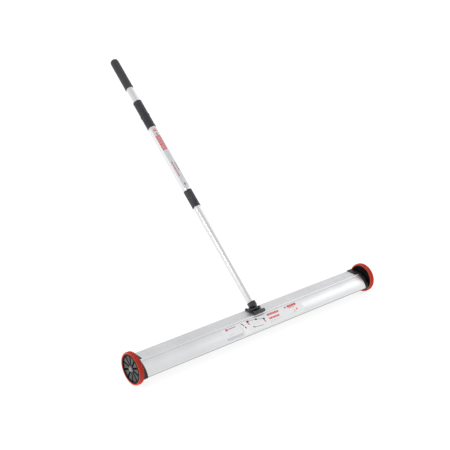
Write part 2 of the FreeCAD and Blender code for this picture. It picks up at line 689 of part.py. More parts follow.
def pivot_bolt():
    half = "(Sizes.fork_half + Sizes.ear_width)"
    bolt = turned("pivot_bolt", [
        (0, f"-{half} - 3"), (2.6, f"-{half} - 3"), (3.9, f"-{half} - 2"), (4.2, f"-{half} - 0.1"),
        ("Sizes.bolt_dia / 2", f"-{half} - 0.1"), ("Sizes.bolt_dia / 2", f"{half} + 5"),
        (0, f"{half} + 5"),
    ])
    place(bolt, "Sizes.handle_x", "Sizes.pivot_y", "Sizes.pivot_z", Vector(0, 1, 0), 90)
    keep(bolt, "pivot_bolt")
    nut = new_body("pivot_nut")
    face = sketch_on(nut, "XY_Plane", f"{half} + 0.1")
    draw_outline(face, hexagon(8))
    draw_circle(face, 0, 0, "Sizes.bolt_dia / 2 + 0.05")
    pad(nut, face, 4)
    place(nut, "Sizes.handle_x", "Sizes.pivot_y", "Sizes.pivot_z", Vector(0, 1, 0), 90)
    keep(nut, "pivot_nut")


# Handle; heights run along the handle from the pivot

def handle_socket():
    """Fluted cup for the lower tube, with a cross barrel on the pivot bolt."""
    rim = "Sizes.socket_dia / 2"
    body = turned("socket", [
        (0, 2),
        (9, 4),
        (rim, "Sizes.socket_start"),
        (rim, "Sizes.socket_end - 1"),
        (f"{rim} - 0.6", "Sizes.socket_end"),
        ("Sizes.lower_dia / 2 + Sizes.play", "Sizes.socket_end"),
        ("Sizes.lower_dia / 2 + Sizes.play", "Sizes.socket_start + 1"),
        (0, "Sizes.socket_start + 1"),
    ])
    flute = sketch_on(body, "XY_Plane", "Sizes.socket_start + 1.5")
    draw_circle(flute, f"{rim} + 0.5", 0, 1.3)
    around(body, pocket(body, flute, "Sizes.socket_end - Sizes.socket_start - 4", reverse=True),
           "Sizes.flute_count")
    barrel = sketch_on(body, "YZ_Plane")
    draw_circle(barrel, 0, 0, "Sizes.barrel_radius")
    pad(body, barrel, "2 * Sizes.fork_half - 2 * Sizes.gap", symmetric=True)
    bore = sketch_on(body, "YZ_Plane")
    draw_circle(bore, 0, 0, "Sizes.bolt_dia / 2 + Sizes.play")
    pocket(body, bore, THROUGH, symmetric=True)
    hole = sketch_on(body, "XZ_Plane")
    draw_circle(hole, 0, SOCKET_SCREW_HEIGHT, "Sizes.socket_screw_dia / 2 + Sizes.play")
    pocket(body, hole, THROUGH, symmetric=True)
    on_handle(body)
    keep(body, "handle_socket")


def cross_pin(label, radius, reach, heights, head):
    """Screw or rivets straight through the handle, from front to back."""
    pins = []
    ends = f"({reach})"
    for height in heights:
        body = turned("cross_pin", [
            (0, f"-{ends}"), (radius, f"-{ends}"), (radius, ends),
            (f"{radius} + {head}", ends), (f"{radius} + {head} - 0.8", f"{ends} + 1"), (0, f"{ends} + 1"),
        ])
        body.Placement = Placement(Vector(0, 0, size(height)), Rotation(Vector(1, 0, 0), 90))
        pins.append(body)
    group = doc.addObject("Part::Compound", "cross_pins")
    group.Links = pins
    on_handle(group)
    keep(group, label)


def lower_tube():
    inner = "Sizes.lower_dia / 2 - Sizes.lower_wall"
    body = ring("lower_tube", inner, "Sizes.lower_dia / 2", "Sizes.socket_start + 1.2", "Sizes.lower_end")
    hole = sketch_on(body, "XZ_Plane")
    draw_circle(hole, 0, SOCKET_SCREW_HEIGHT, "Sizes.socket_screw_dia / 2 + Sizes.play")
    draw_circle(hole, 0, RIVET_HEIGHTS[0], "Sizes.rivet_dia / 2 + Sizes.play")
    pocket(body, hole, THROUGH, symmetric=True)
    on_handle(body)
    keep(body, "lower_tube")


def tube_coupler():
    """Sleeve that steps from the lower tube to the middle tube."""
    outer = "Sizes.coupler_dia / 2"
    body = turned("coupler", [
        ("Sizes.lower_dia / 2 + Sizes.play", "Sizes.coupler_start"),
        (f"{outer} - 0.8", "Sizes.coupler_start"),
        (outer, "Sizes.coupler_start + 1"),
        (outer, "Sizes.coupler_end - 1"),
        (f"{outer} - 0.6", "Sizes.coupler_end"),
        ("Sizes.middle_dia / 2 + Sizes.play", "Sizes.coupler_end"),
        ("Sizes.middle_dia / 2 + Sizes.play", "Sizes.middle_start - 0.2"),
        ("Sizes.lower_dia / 2 - 1.2", "Sizes.middle_start - 0.2"),
        ("Sizes.lower_dia / 2 - 1.2", "Sizes.lower_end + 0.2"),
        ("Sizes.lower_dia / 2 + Sizes.play", "Sizes.lower_end + 0.2"),
    ])
    hole = sketch_on(body, "XZ_Plane")
    for height in RIVET_HEIGHTS:
        draw_circle(hole, 0, height, "Sizes.rivet_dia / 2 + Sizes.play")
    pocket(body, hole, THROUGH, symmetric=True)
    on_handle(body)
    keep(body, "tube_coupler")


def middle_tube():
    inner = "Sizes.middle_dia / 2 - Sizes.middle_wall"
    body = ring("middle_tube", inner, "Sizes.middle_dia / 2", "Sizes.middle_start", "Sizes.middle_end")
    hole = sketch_on(body, "XZ_Plane")
    draw_circle(hole, 0, RIVET_HEIGHTS[1], "Sizes.rivet_dia / 2 + Sizes.play")
    pocket(body, hole, THROUGH, symmetric=True)
    on_handle(body)
    keep(body, "middle_tube")


def tube_label():
    """Film round the front half of the middle tube."""
    body = new_body("tube_label")
    face = sketch_on(body, "XY_Plane", "Sizes.tube_label_start")
    inner = "Sizes.middle_dia / 2 + Sizes.play"
    add_sector(face, Vector(0, 0, 0), inner, f"{inner} + Sizes.film", 180, 350)
    pad(body, face, "Sizes.tube_label_end - Sizes.tube_label_start")
    on_handle(body)
    keep(body, "tube_label")


def twist_lock_base():
    """Fixed half of the telescope lock: sleeve on the middle tube with a threaded nose."""
    nose = "Sizes.lock_sleeve_dia / 2 - 1.2 - Sizes.gap"
    bore = "Sizes.upper_dia / 2 + Sizes.gap"
    seat = "Sizes.middle_dia / 2 + Sizes.play"
    body = turned("lock_base", [
        (seat, "Sizes.lock_start"),
        ("Sizes.lock_foot_dia / 2 - 1", "Sizes.lock_start"),
        ("Sizes.lock_foot_dia / 2", "Sizes.lock_start + 1.5"),
        ("Sizes.lock_foot_dia / 2", "Sizes.lock_start + 7"),
        ("Sizes.lock_foot_dia / 2 - 0.5", "Sizes.lock_start + 12"),
        ("Sizes.lock_foot_dia / 2 - 0.5", "Sizes.lock_joint - 9"),
        ("Sizes.lock_base_dia / 2", "Sizes.lock_joint - 6"),
        ("Sizes.lock_base_dia / 2", "Sizes.lock_joint - 1"),
        ("Sizes.lock_base_dia / 2 - 0.8", "Sizes.lock_joint"),
        (nose, "Sizes.lock_joint"),
        (nose, "Sizes.lock_nose_end"),
        (bore, "Sizes.lock_nose_end"),
        (bore, "Sizes.middle_end + 0.3"),
        (seat, "Sizes.middle_end + 0.3"),
    ])
    on_handle(body)
    keep(body, "twist_lock_base")


def twist_lock_collet():
    """Split ring that the sleeve squeezes onto the upper tube."""
    body = ring("collet", "Sizes.upper_dia / 2 + Sizes.gap", "Sizes.upper_dia / 2 + 1.2",
                "Sizes.collet_start", "Sizes.collet_end")
    slit = sketch_on(body, "XZ_Plane")
    draw_outline(slit, [
        (-1, "Sizes.collet_start - 1"), (1, "Sizes.collet_start - 1"),
        (1, "Sizes.collet_end + 1"), (-1, "Sizes.collet_end + 1"),
    ])
    pocket(body, slit, 30, reverse=True)
    on_handle(body)
    keep(body, "twist_lock_collet")


def twist_lock_sleeve():
    """Turning half of the telescope lock."""
    outer = "Sizes.lock_sleeve_dia / 2"
    cavity = f"{outer} - 1.2"
    collet_room = "Sizes.upper_dia / 2 + 1.2 + Sizes.gap"
    body = turned("lock_sleeve", [
        (cavity, "Sizes.lock_joint + Sizes.gap"),
        (f"{outer} - 0.4", "Sizes.lock_joint + Sizes.gap"),
        (outer, "Sizes.lock_joint + 1.5"),
        (outer, "Sizes.lock_end - 3"),
        (f"{outer} - 1.6", "Sizes.lock_end"),
        ("Sizes.upper_dia / 2 + Sizes.gap", "Sizes.lock_end"),
        ("Sizes.upper_dia / 2 + Sizes.gap", "Sizes.collet_end + 2"),
        (collet_room, "Sizes.collet_end + 1"),
        (collet_room, "Sizes.lock_nose_end + 1"),
        (cavity, "Sizes.lock_nose_end + 1"),
    ])
    on_handle(body)
    keep(body, "twist_lock_sleeve")


# Telescoping part of the handle

def upper_tube():
    body = ring("upper_tube", "Sizes.upper_dia / 2 - Sizes.upper_wall", "Sizes.upper_dia / 2",
                "Sizes.upper_start", "Sizes.upper_end")
    on_handle(body)
    keep(body, "upper_tube")


def guide_plug():
    """Plug in the hidden end of the upper tube; its flange guides it in the middle tube."""
    inner = "Sizes.upper_dia / 2 - Sizes.upper_wall - 0.05"
    flange = "Sizes.middle_dia / 2 - Sizes.middle_wall - Sizes.play"
    body = turned("guide_plug", [
        (0, "Sizes.upper_start - 6"),
        (f"{flange} - 0.6", "Sizes.upper_start - 6"),
        (flange, "Sizes.upper_start - 5"),
        (flange, "Sizes.upper_start - 0.1"),
        (inner, "Sizes.upper_start - 0.1"),
        (inner, "Sizes.upper_start + 14"),
        (0, "Sizes.upper_start + 14"),
    ])
    on_handle(body)
    keep(body, "guide_plug")


def grip():
    """Soft grip with a flared mouth and a domed end."""
    outer = "Sizes.grip_dia / 2"
    bore = "Sizes.upper_dia / 2 + 0.05"
    body = turned("grip", [
        (0, "Sizes.upper_end + 0.1"),
        (bore, "Sizes.upper_end + 0.1"),
        (bore, "Sizes.grip_start"),
        (f"{outer} - 0.8", "Sizes.grip_start"),
        (outer, "Sizes.grip_start + 1"),
        (outer, f"Sizes.grip_end - {outer} * 0.55"),
        (f"{outer} * 0.72", "Sizes.grip_end - 2.2"),
        (f"{outer} * 0.36", "Sizes.grip_end"),
        (0, "Sizes.grip_end"),
    ])
    on_handle(body)
    keep(body, "grip")


def build():
    housing_extrusion()
    magnets()
    magnet_backing_plate()
    housing_label()
    end_cap()
    cap_screws()
    for side, name in ((-1, "left"), (1, "right")):
        axle_set(side, name)
        wheel(side, name)
    bracket_saddle()
    bracket_clamp_bar()
    saddle_screws()
    pivot_bolt()
    handle_socket()
    cross_pin("socket_screw", "Sizes.socket_screw_dia / 2", "Sizes.socket_dia / 2",
              [SOCKET_SCREW_HEIGHT], head=1.4)
    lower_tube()
    tube_coupler()
    cross_pin("coupler_rivets", "Sizes.rivet_dia / 2", "Sizes.coupler_dia / 2", RIVET_HEIGHTS, head=1)
    middle_tube()
    tube_label()
    twist_lock_base()
    twist_lock_collet()
    twist_lock_sleeve()
    upper_tube()
    guide_plug()
    grip()


def check_and_write():
    """Stop on any failed feature or bad solid, then write one STEP file for each sub-part."""
    doc.recompute()
    for item in doc.Objects:
        if "Invalid" in item.State or "Error" in item.State:
            raise RuntimeError(f"{item.Label}: {item.State}")
    for piece in PARTS:
        if piece.Shape.isNull() or not piece.Shape.isValid():
            raise RuntimeError(f"{piece.Label}: bad shape")
    os.makedirs("parts", exist_ok=True)
    for piece in PARTS:
        piece.Shape.exportStep(f"parts/{piece.Label}.step")
        print(piece.Label, len(piece.Shape.Solids), round(piece.Shape.Volume / 1000, 2), "cm3")


build()
check_and_write()
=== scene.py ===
import json
import math

import bmesh
import bpy
from mathutils import Matrix, Vector


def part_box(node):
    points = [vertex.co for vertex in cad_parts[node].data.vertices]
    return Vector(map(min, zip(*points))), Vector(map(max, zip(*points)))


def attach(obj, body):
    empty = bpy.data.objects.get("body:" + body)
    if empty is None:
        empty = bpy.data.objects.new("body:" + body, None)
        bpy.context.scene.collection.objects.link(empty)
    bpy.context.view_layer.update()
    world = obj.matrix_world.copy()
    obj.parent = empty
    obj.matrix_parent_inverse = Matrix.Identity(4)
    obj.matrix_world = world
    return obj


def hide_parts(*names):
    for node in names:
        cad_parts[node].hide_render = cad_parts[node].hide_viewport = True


# Magnetic nail sweeper, metres. X runs along the axle, -Y is the front, +Z is up, and the floor is Z = 0.

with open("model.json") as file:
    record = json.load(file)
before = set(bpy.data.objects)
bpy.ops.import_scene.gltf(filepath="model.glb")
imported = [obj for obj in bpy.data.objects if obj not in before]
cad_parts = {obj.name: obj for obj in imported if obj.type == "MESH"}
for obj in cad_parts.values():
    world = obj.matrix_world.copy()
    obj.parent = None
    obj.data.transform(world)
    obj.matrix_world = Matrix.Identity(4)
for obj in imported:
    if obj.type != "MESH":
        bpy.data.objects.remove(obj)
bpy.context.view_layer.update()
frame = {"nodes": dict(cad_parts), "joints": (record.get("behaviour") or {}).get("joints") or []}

MM = 0.001
SIDES = (("left", -1), ("right", 1))
JOINTS = {joint["name"]: joint for joint in frame["joints"]}


def standing(origin, along):
    """Frame with Z along a direction that lies across X, and X kept."""
    z = Vector(along).normalized()
    x = Vector((1, 0, 0))
    y = z.cross(x)
    turn = Matrix((x, y, z)).transposed().to_4x4()
    return Matrix.Translation(Vector(origin)) @ turn


def lying(origin, side):
    """Frame with Z along the axle towards one side, and X straight up."""
    z = Vector((side, 0, 0))
    x = Vector((0, 0, 1))
    y = z.cross(x)
    turn = Matrix((x, y, z)).transposed().to_4x4()
    return Matrix.Translation(Vector(origin)) @ turn


HANDLE = standing(JOINTS["handle_tilt"]["pos_m"], JOINTS["handle_extend"]["axis"])
AXLE_HEIGHT = JOINTS["left_wheel_spin"]["pos_m"][2]
AXLE = {name: lying((0, 0, AXLE_HEIGHT), side) for name, side in SIDES}
HOUSING_LOW, HOUSING_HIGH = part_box("housing_extrusion")


def reach(node, matrix):
    """(lowest height, highest height, largest radius) of a CAD node in a frame's own axes."""
    inverse = matrix.inverted()
    points = [inverse @ vertex.co for vertex in frame["nodes"][node].data.vertices]
    heights = [point.z for point in points]
    return min(heights), max(heights), max(math.hypot(point.x, point.y) for point in points)


# Materials

def add(tree, kind, settings=None, **sockets):
    """Node with its settings, and each socket given a value or a link."""
    node = tree.nodes.new("ShaderNode" + kind)
    for key, value in (settings or {}).items():
        setattr(node, key, value)
    for key, value in sockets.items():
        socket = node.inputs[key.replace("_", " ")]
        if isinstance(value, bpy.types.NodeSocket):
            tree.links.new(value, socket)
        else:
            socket.default_value = value
    return node


def blank(name, **sockets):
    """Material with one Principled shader; returns the material, its tree and the shader."""
    material = bpy.data.materials.new(name)
    material.use_nodes = True
    tree = material.node_tree
    shader = tree.nodes["Principled BSDF"]
    for key, value in sockets.items():
        shader.inputs[key.replace("_", " ")].default_value = value
    return material, tree, shader


def grid(tree, stretch, turn=(0, 0, 0)):
    """Object coordinates turned and then stretched, for a grain that runs one way."""
    source = add(tree, "TexCoord").outputs["Object"]
    turned = add(tree, "Mapping", Vector=source, Rotation=turn).outputs["Vector"]
    return add(tree, "Mapping", Vector=turned, Scale=stretch).outputs["Vector"]


def noise(tree, vector, scale, detail=4.0, harshness=0.55):
    """Fractal noise, mostly between 0.3 and 0.7."""
    node = add(tree, "TexNoise", Vector=vector, Scale=scale, Detail=detail, Roughness=harshness)
    return node.outputs["Fac"]


def spread(tree, value, low, high, start=0.3, end=0.7):
    """Value from start..end carried over to low..high."""
    settings = {"clamp": True}
    node = add(tree, "MapRange", settings, Value=value, From_Min=start, From_Max=end, To_Min=low, To_Max=high)
    return node.outputs["Result"]


def tint(tree, share, first, second):
    """Colour between two linear RGB colours."""
    node = tree.nodes.new("ShaderNodeMix")
    node.data_type = "RGBA"
    tree.links.new(share, node.inputs["Factor"])
    colours = [socket for socket in node.inputs if socket.type == "RGBA"]
    for socket, colour in zip(colours, (first, second)):
        if isinstance(colour, bpy.types.NodeSocket):
            tree.links.new(colour, socket)
        else:
            socket.default_value = (*colour, 1)
    return [socket for socket in node.outputs if socket.type == "RGBA"][0]


def worn_edges(tree, radius):
    """1 on sharp outer and inner edges, 0 on the flats."""
    smooth = add(tree, "Bevel", {"samples": 4}, Radius=radius).outputs["Normal"]
    flat = add(tree, "NewGeometry").outputs["Normal"]
    same = add(tree, "VectorMath", {"operation": "DOT_PRODUCT"})
    tree.links.new(smooth, same.inputs[0])
    tree.links.new(flat, same.inputs[1])
    return spread(tree, same.outputs["Value"], 1, 0, 0.82, 0.99)


def sideways(tree, start, end):
    """1 on faces that look along the axle, 0 on faces that look across it."""
    parts = add(tree, "SeparateXYZ", Vector=add(tree, "NewGeometry").outputs["Normal"])
    size = add(tree, "Math", {"operation": "ABSOLUTE"})
    tree.links.new(parts.outputs["X"], size.inputs[0])
    return spread(tree, size.outputs["Value"], 0, 1, start, end)


def relief(tree, shader, height, depth, strength=1.0):
    """Fine bumps on a finish, from a height of 0 to 1 and its depth in metres."""
    bump = add(tree, "Bump", Height=height, Distance=depth, Strength=strength)
    tree.links.new(bump.outputs["Normal"], shader.inputs["Normal"])


def drawn_aluminium(name, stretch, turn, dark, light, rough, underside_shade=0.8):
    """Metal with fine streaks along one direction, soft patches, scratches and painted shade that darkens the
    faces turned down.
    """
    material, tree, shader = blank(name, Metallic=1.0)
    along = grid(tree, stretch, turn)
    streaks = noise(tree, along, 1.0, 6.0, 0.65)
    patches = noise(tree, grid(tree, (1, 1, 1)), 9.0, 3.0)
    shade = tint(tree, spread(tree, streaks, 0, 1), dark, light)
    dull = tuple(0.93 * channel for channel in dark)
    clean = tint(tree, spread(tree, patches, 0, 0.35, 0.45, 0.75), shade, dull)
    # Painted shade: faces that turn downwards are mixed towards a darker copy of the metal colour.
    facing = add(tree, "SeparateXYZ", Vector=add(tree, "NewGeometry").outputs["Normal"])
    shaded_underside = tuple(underside_shade * channel for channel in dark)
    tree.links.new(tint(tree, spread(tree, facing.outputs["Z"], 1, 0, -0.35, 0.3), clean, shaded_underside),
                   shader.inputs["Base Color"])
    scratches = noise(tree, grid(tree, tuple(2.3 * value for value in stretch), turn), 1.7, 2.0)
    rough_base = spread(tree, streaks, rough[0], rough[1])
    rough_sum = add(tree, "Math", {"operation": "ADD"})
    tree.links.new(rough_base, rough_sum.inputs[0])
    tree.links.new(spread(tree, scratches, 0, 0.08, 0.62, 0.7), rough_sum.inputs[1])
    tree.links.new(rough_sum.outputs["Value"], shader.inputs["Roughness"])
    relief(tree, shader, streaks, 0.04 * MM, 0.6)
    return material


def moulded_plastic(name, dark, light, rough, gloss=0.3):
    """Moulded plastic: fine spark grain, faint flow marks and paler worn edges."""
    material, tree, shader = blank(name, Specular_IOR_Level=gloss)
    place = grid(tree, (1, 1, 1))
    fine = noise(tree, place, 900.0, 3.0)
    flow = noise(tree, place, 28.0, 3.0)
    body = tint(tree, spread(tree, flow, 0, 1), dark, light)
    worn = tuple(min(1, 2.4 * channel + 0.02) for channel in light)
    edges = add(tree, "Math", {"operation": "MULTIPLY"})
    tree.links.new(worn_edges(tree, 0.5 * MM), edges.inputs[0])
    tree.links.new(spread(tree, noise(tree, place, 160.0), 0, 0.7, 0.4, 0.65), edges.inputs[1])
    tree.links.new(tint(tree, edges.outputs["Value"], body, worn), shader.inputs["Base Color"])
    tree.links.new(spread(tree, flow, rough[0], rough[1]), shader.inputs["Roughness"])
    relief(tree, shader, fine, 0.05 * MM, 0.5)
    return material


def paint_side_shade(material, dark):
    """Paint shade onto a finish: darker colour on the faces that look across the axle."""
    tree = material.node_tree
    shader = tree.nodes["Principled BSDF"]
    colour = shader.inputs["Base Color"].links[0].from_socket
    base = tint(tree, sideways(tree, 0.4, 0.9), dark, colour)
    tree.links.new(base, shader.inputs["Base Color"])


def red_rubber():
    """Moulded rubber: bright sidewalls, a duller tread with painted shade down in its grooves, and a dusty
    bloom.
    """
    material, tree, shader = blank("red_tyre_rubber", Specular_IOR_Level=0.3)
    place = grid(tree, (1, 1, 1))
    patches = noise(tree, place, 45.0, 5.0)
    specks = noise(tree, place, 700.0, 2.0)
    from_axle = add(tree, "VectorMath", {"operation": "MULTIPLY_ADD"})
    tree.links.new(place, from_axle.inputs[0])
    from_axle.inputs[1].default_value = (0, 1, 1)
    from_axle.inputs[2].default_value = (0, 0, -AXLE_HEIGHT)
    radius = add(tree, "VectorMath", {"operation": "LENGTH"})
    tree.links.new(from_axle.outputs["Vector"], radius.inputs[0])
    # Painted shade: below the tops of the tread blocks the colour runs to a near black red.
    height = spread(tree, radius.outputs["Value"], 0, 1, AXLE_HEIGHT - 1.2 * MM, AXLE_HEIGHT - 0.4 * MM)
    tread = tint(tree, height, (0.09, 0.003, 0.003), (0.7, 0.02, 0.018))
    wall = tint(tree, spread(tree, patches, 0, 1), (0.86, 0.07, 0.03), (0.95, 0.11, 0.05))
    colour = tint(tree, sideways(tree, 0.25, 0.6), tread, wall)
    bloom = tint(tree, spread(tree, specks, 0, 0.25, 0.55, 0.8), colour, (0.76, 0.085, 0.06))
    tree.links.new(bloom, shader.inputs["Base Color"])
    tree.links.new(spread(tree, patches, 0.42, 0.58), shader.inputs["Roughness"])
    relief(tree, shader, specks, 0.05 * MM, 0.6)
    return material


def foam_grip():
    """Closed-cell foam: matt, with fine pores."""
    material, tree, shader = blank("grip_foam", Specular_IOR_Level=0.35,
                                   Sheen_Weight=0.15, Sheen_Roughness=0.5)
    place = grid(tree, (1, 1, 1))
    pores = add(tree, "TexVoronoi", Vector=place, Scale=750.0).outputs["Distance"]
    patches = noise(tree, place, 30.0, 4.0)
    colour = tint(tree, spread(tree, patches, 0, 1), (0.036, 0.036, 0.04), (0.056, 0.056, 0.061))
    tree.links.new(tint(tree, spread(tree, pores, 0.6, 0, 0.0, 0.35), colour, (0.015, 0.015, 0.017)),
                   shader.inputs["Base Color"])
    tree.links.new(spread(tree, patches, 0.62, 0.78), shader.inputs["Roughness"])
    relief(tree, shader, pores, 0.12 * MM, 0.7)
    return material


def plated_metal(name, dark, light, rough, scale=60.0):
    """Steel under chrome, zinc or a black finish, with a mottled plating."""
    material, tree, shader = blank(name, Metallic=1.0)
    place = grid(tree, (1, 1, 1))
    mottle = noise(tree, place, scale, 5.0)
    fine = noise(tree, place, 20 * scale, 2.0)
    tree.links.new(tint(tree, spread(tree, mottle, 0, 1), dark, light), shader.inputs["Base Color"])
    tree.links.new(spread(tree, mottle, rough[0], rough[1]), shader.inputs["Roughness"])
    relief(tree, shader, fine, 0.02 * MM, 0.4)
    return material


def ceramic_magnet():
    """Pressed ferrite: dark, matt and grainy."""
    material, tree, shader = blank("ferrite_magnet", Specular_IOR_Level=0.5)
    place = grid(tree, (1, 1, 1))
    grains = noise(tree, place, 350.0, 6.0)
    tree.links.new(tint(tree, spread(tree, grains, 0, 1), (0.02, 0.02, 0.022), (0.06, 0.06, 0.065)),
                   shader.inputs["Base Color"])
    tree.links.new(spread(tree, grains, 0.5, 0.75), shader.inputs["Roughness"])
    relief(tree, shader, grains, 0.1 * MM)
    return material


def printed_film(name, dark, light):
    """Label film or print on it: ink of slightly uneven density under a thin clear coat."""
    material, tree, shader = blank(name, Coat_Weight=0.25, Coat_Roughness=0.2, Specular_IOR_Level=0.5)
    place = grid(tree, (1, 1, 1))
    density = noise(tree, place, 220.0, 4.0)
    waves = noise(tree, place, 24.0, 2.0)
    tree.links.new(tint(tree, spread(tree, density, 0, 1), dark, light), shader.inputs["Base Color"])
    tree.links.new(spread(tree, waves, 0.3, 0.42), shader.inputs["Roughness"])
    relief(tree, shader, waves, 0.05 * MM, 0.5)
    return material


def studio_floor():
    """Pale sweep on a light table: its own glow keeps the shadows faint."""
    glow = 0.82
    material, tree, shader = blank("studio_floor", Roughness=0.8, Specular_IOR_Level=0.1)
    shade = noise(tree, grid(tree, (1, 1, 1)), 3.0, 2.0)
    tree.links.new(tint(tree, shade, (0.30, 0.30, 0.30), (0.34, 0.34, 0.34)), shader.inputs["Base Color"])
    shader.inputs["Emission Color"].default_value = (1, 1, 1, 1)
    shader.inputs["Emission Strength"].default_value = glow
    return material


HANDLE_TURN = (math.atan2(HANDLE.col[2].y, HANDLE.col[2].z), 0, 0)
ALONG_X = (4, 900, 900)
ALONG_HANDLE = (900, 900, 4)

# The last number for the profile sets how dark the painted shade on its downward faces is.
profile_metal = drawn_aluminium("extruded_aluminium", ALONG_X, (0, 0, 0),
                                (0.74, 0.745, 0.755), (0.86, 0.865, 0.875), (0.30, 0.42), 0.45)
tube_metal = drawn_aluminium("drawn_tube_aluminium", ALONG_HANDLE, HANDLE_TURN,
                             (0.80, 0.80, 0.81), (0.90, 0.90, 0.91), (0.22, 0.34))
black_plastic = moulded_plastic("black_plastic", (0.016, 0.016, 0.018), (0.028, 0.028, 0.031), (0.34, 0.46))
bracket_plastic = moulded_plastic("bracket_plastic", (0.012, 0.012, 0.015), (0.026, 0.026, 0.03),
                                  (0.2, 0.28), 0.7)
rim_plastic = moulded_plastic("hub_black_plastic", (0.005, 0.005, 0.006), (0.009, 0.009, 0.01),
                              (0.45, 0.55), 0.12)
panel_plastic = moulded_plastic("hub_panel_plastic", (0.07, 0.07, 0.075), (0.12, 0.12, 0.125), (0.45, 0.58))
# Painted shade on the slot walls between the hub panels.
paint_side_shade(panel_plastic, (0.006, 0.006, 0.007))
lock_plastic = moulded_plastic("lock_plastic", (0.012, 0.012, 0.018), (0.026, 0.026, 0.034),
                               (0.24, 0.34), 0.55)
nylon = moulded_plastic("clear_nylon", (0.62, 0.62, 0.6), (0.72, 0.72, 0.7), (0.3, 0.42))
tyre_rubber = red_rubber()
foam = foam_grip()
chrome = plated_metal("dull_chrome", (0.24, 0.24, 0.25), (0.34, 0.34, 0.35), (0.12, 0.2))
zinc = plated_metal("zinc_plate", (0.55, 0.56, 0.58), (0.72, 0.73, 0.74), (0.25, 0.42), 90.0)
blackened = plated_metal("blackened_steel", (0.05, 0.05, 0.055), (0.1, 0.1, 0.105), (0.3, 0.45), 90.0)
magnet_stone = ceramic_magnet()
label_film = printed_film("label_film", (0.85, 0.85, 0.87), (0.9, 0.9, 0.92))
tube_film = printed_film("tube_label_film", (0.62, 0.63, 0.65), (0.70, 0.71, 0.73))
white_ink = printed_film("white_ink", (0.9, 0.9, 0.9), (0.94, 0.94, 0.94))
grey_ink = printed_film("grey_ink", (0.60, 0.61, 0.63), (0.68, 0.69, 0.71))
red_ink = printed_film("red_ink", (0.64, 0.05, 0.05), (0.74, 0.075, 0.07))
pink_ink = printed_film("pink_ink", (0.82, 0.42, 0.43), (0.88, 0.5, 0.5))
dark_ink = printed_film("dark_ink", (0.02, 0.02, 0.03), (0.04, 0.04, 0.05))
yellow_ink = printed_film("yellow_ink", (0.62, 0.66, 0.16), (0.72, 0.74, 0.22))


# Mesh helpers

SHARP = math.radians(30)
TINY = 1e-7
SNUG = 0.05 * MM
TUBE_FIT = 0.06 * MM


def rounded(corners, steps=4):
    """Outline through corners (u, v) or (u, v, radius), with the corners that have a radius rounded."""
    points = []
    for index, corner in enumerate(corners):
        here = Vector(corner[:2])
        if len(corner) == 2:
            points.append(here)
            continue
        before = Vector(corners[index - 1][:2]) - here
        after = Vector(corners[(index + 1) % len(corners)][:2]) - here
        half = before.angle(after) / 2
        cut = min(corner[2] / math.tan(half), 0.49 * before.length, 0.49 * after.length)
        start = here + before.normalized() * cut
        end = here + after.normalized() * cut
        for step in range(steps + 1):
            share = step / steps
            points.append(start * (1 - share) ** 2 + here * (2 * share * (1 - share)) + end * share ** 2)
    return points


def lathe(outline, count, shape=None):
    """Closed outline of (radius, height) turned about Z.

    shape(radius, height, turn) may move each point in or out.
    """
    bm = bmesh.new()
    rings = []
    for radius, height in outline:
        if radius < TINY:
            rings.append([bm.verts.new((0, 0, height))] * count)
            continue
        ring = []
        for step in range(count):
            angle = 2 * math.pi * step / count
            here = shape(radius, height, step / count) if shape else radius
            ring.append(bm.verts.new((here * math.cos(angle), here * math.sin(angle), height)))
        rings.append(ring)
    for first, second in zip(rings, rings[1:] + rings[:1]):
        for step in range(count):
            after = (step + 1) % count
            corners = []
            for vertex in (first[step], first[after], second[after], second[step]):
                if vertex not in corners:
                    corners.append(vertex)
            if len(corners) > 2:
                bm.faces.new(corners)
    return bm


def slab(outline, low, high, round_off=0.0):
    """Straight block on a flat outline, from one height to another, its top and bottom edges rounded."""
    bm = bmesh.new()
    base = bm.faces.new([bm.verts.new((u, v, low)) for u, v in outline])
    top = bmesh.ops.extrude_face_region(bm, geom=[base])
    lifted = [item for item in top["geom"] if isinstance(item, bmesh.types.BMVert)]
    bmesh.ops.translate(bm, verts=lifted, vec=(0, 0, high - low))
    bmesh.ops.recalc_face_normals(bm, faces=bm.faces)
    if round_off:
        edges = [edge for edge in bm.edges if edge.calc_face_angle(0) > SHARP]
        bmesh.ops.bevel(bm, geom=edges, offset=round_off, segments=3, profile=0.5,
                        affect="EDGES", clamp_overlap=True)
    return bm


def joined(parts):
    """One mesh from several."""
    whole = bmesh.new()
    for part in parts:
        part.verts.index_update()
        copies = [whole.verts.new(vertex.co) for vertex in part.verts]
        for face in part.faces:
            whole.faces.new([copies[vertex.index] for vertex in face.verts])
        part.free()
    return whole


def piece(name, bm, material, body, nodes=(), matrix=None, sharp=32):
    """Finished object from a mesh, riding on its body and standing for the named CAD nodes."""
    if matrix is not None:
        bm.transform(matrix)
    bmesh.ops.recalc_face_normals(bm, faces=bm.faces)
    mesh = bpy.data.meshes.new(name)
    bm.to_mesh(mesh)
    bm.free()
    mesh.polygons.foreach_set("use_smooth", [True] * len(mesh.polygons))
    mesh.set_sharp_from_angle(angle=math.radians(sharp))
    mesh.materials.append(material)
    obj = bpy.data.objects.new(name, mesh)
    bpy.context.scene.collection.objects.link(obj)
    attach(obj, body)
    if nodes:
        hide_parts(*nodes)


def cad_mesh(node):
    """A copy of a CAD node's mesh with its flat faces made whole."""
    bm = bmesh.new()
    bm.from_mesh(frame["nodes"][node].data)
    bmesh.ops.remove_doubles(bm, verts=bm.verts, dist=0.001 * MM)
    bmesh.ops.dissolve_limit(bm, angle_limit=math.radians(0.5), verts=bm.verts, edges=bm.edges)
    return bm


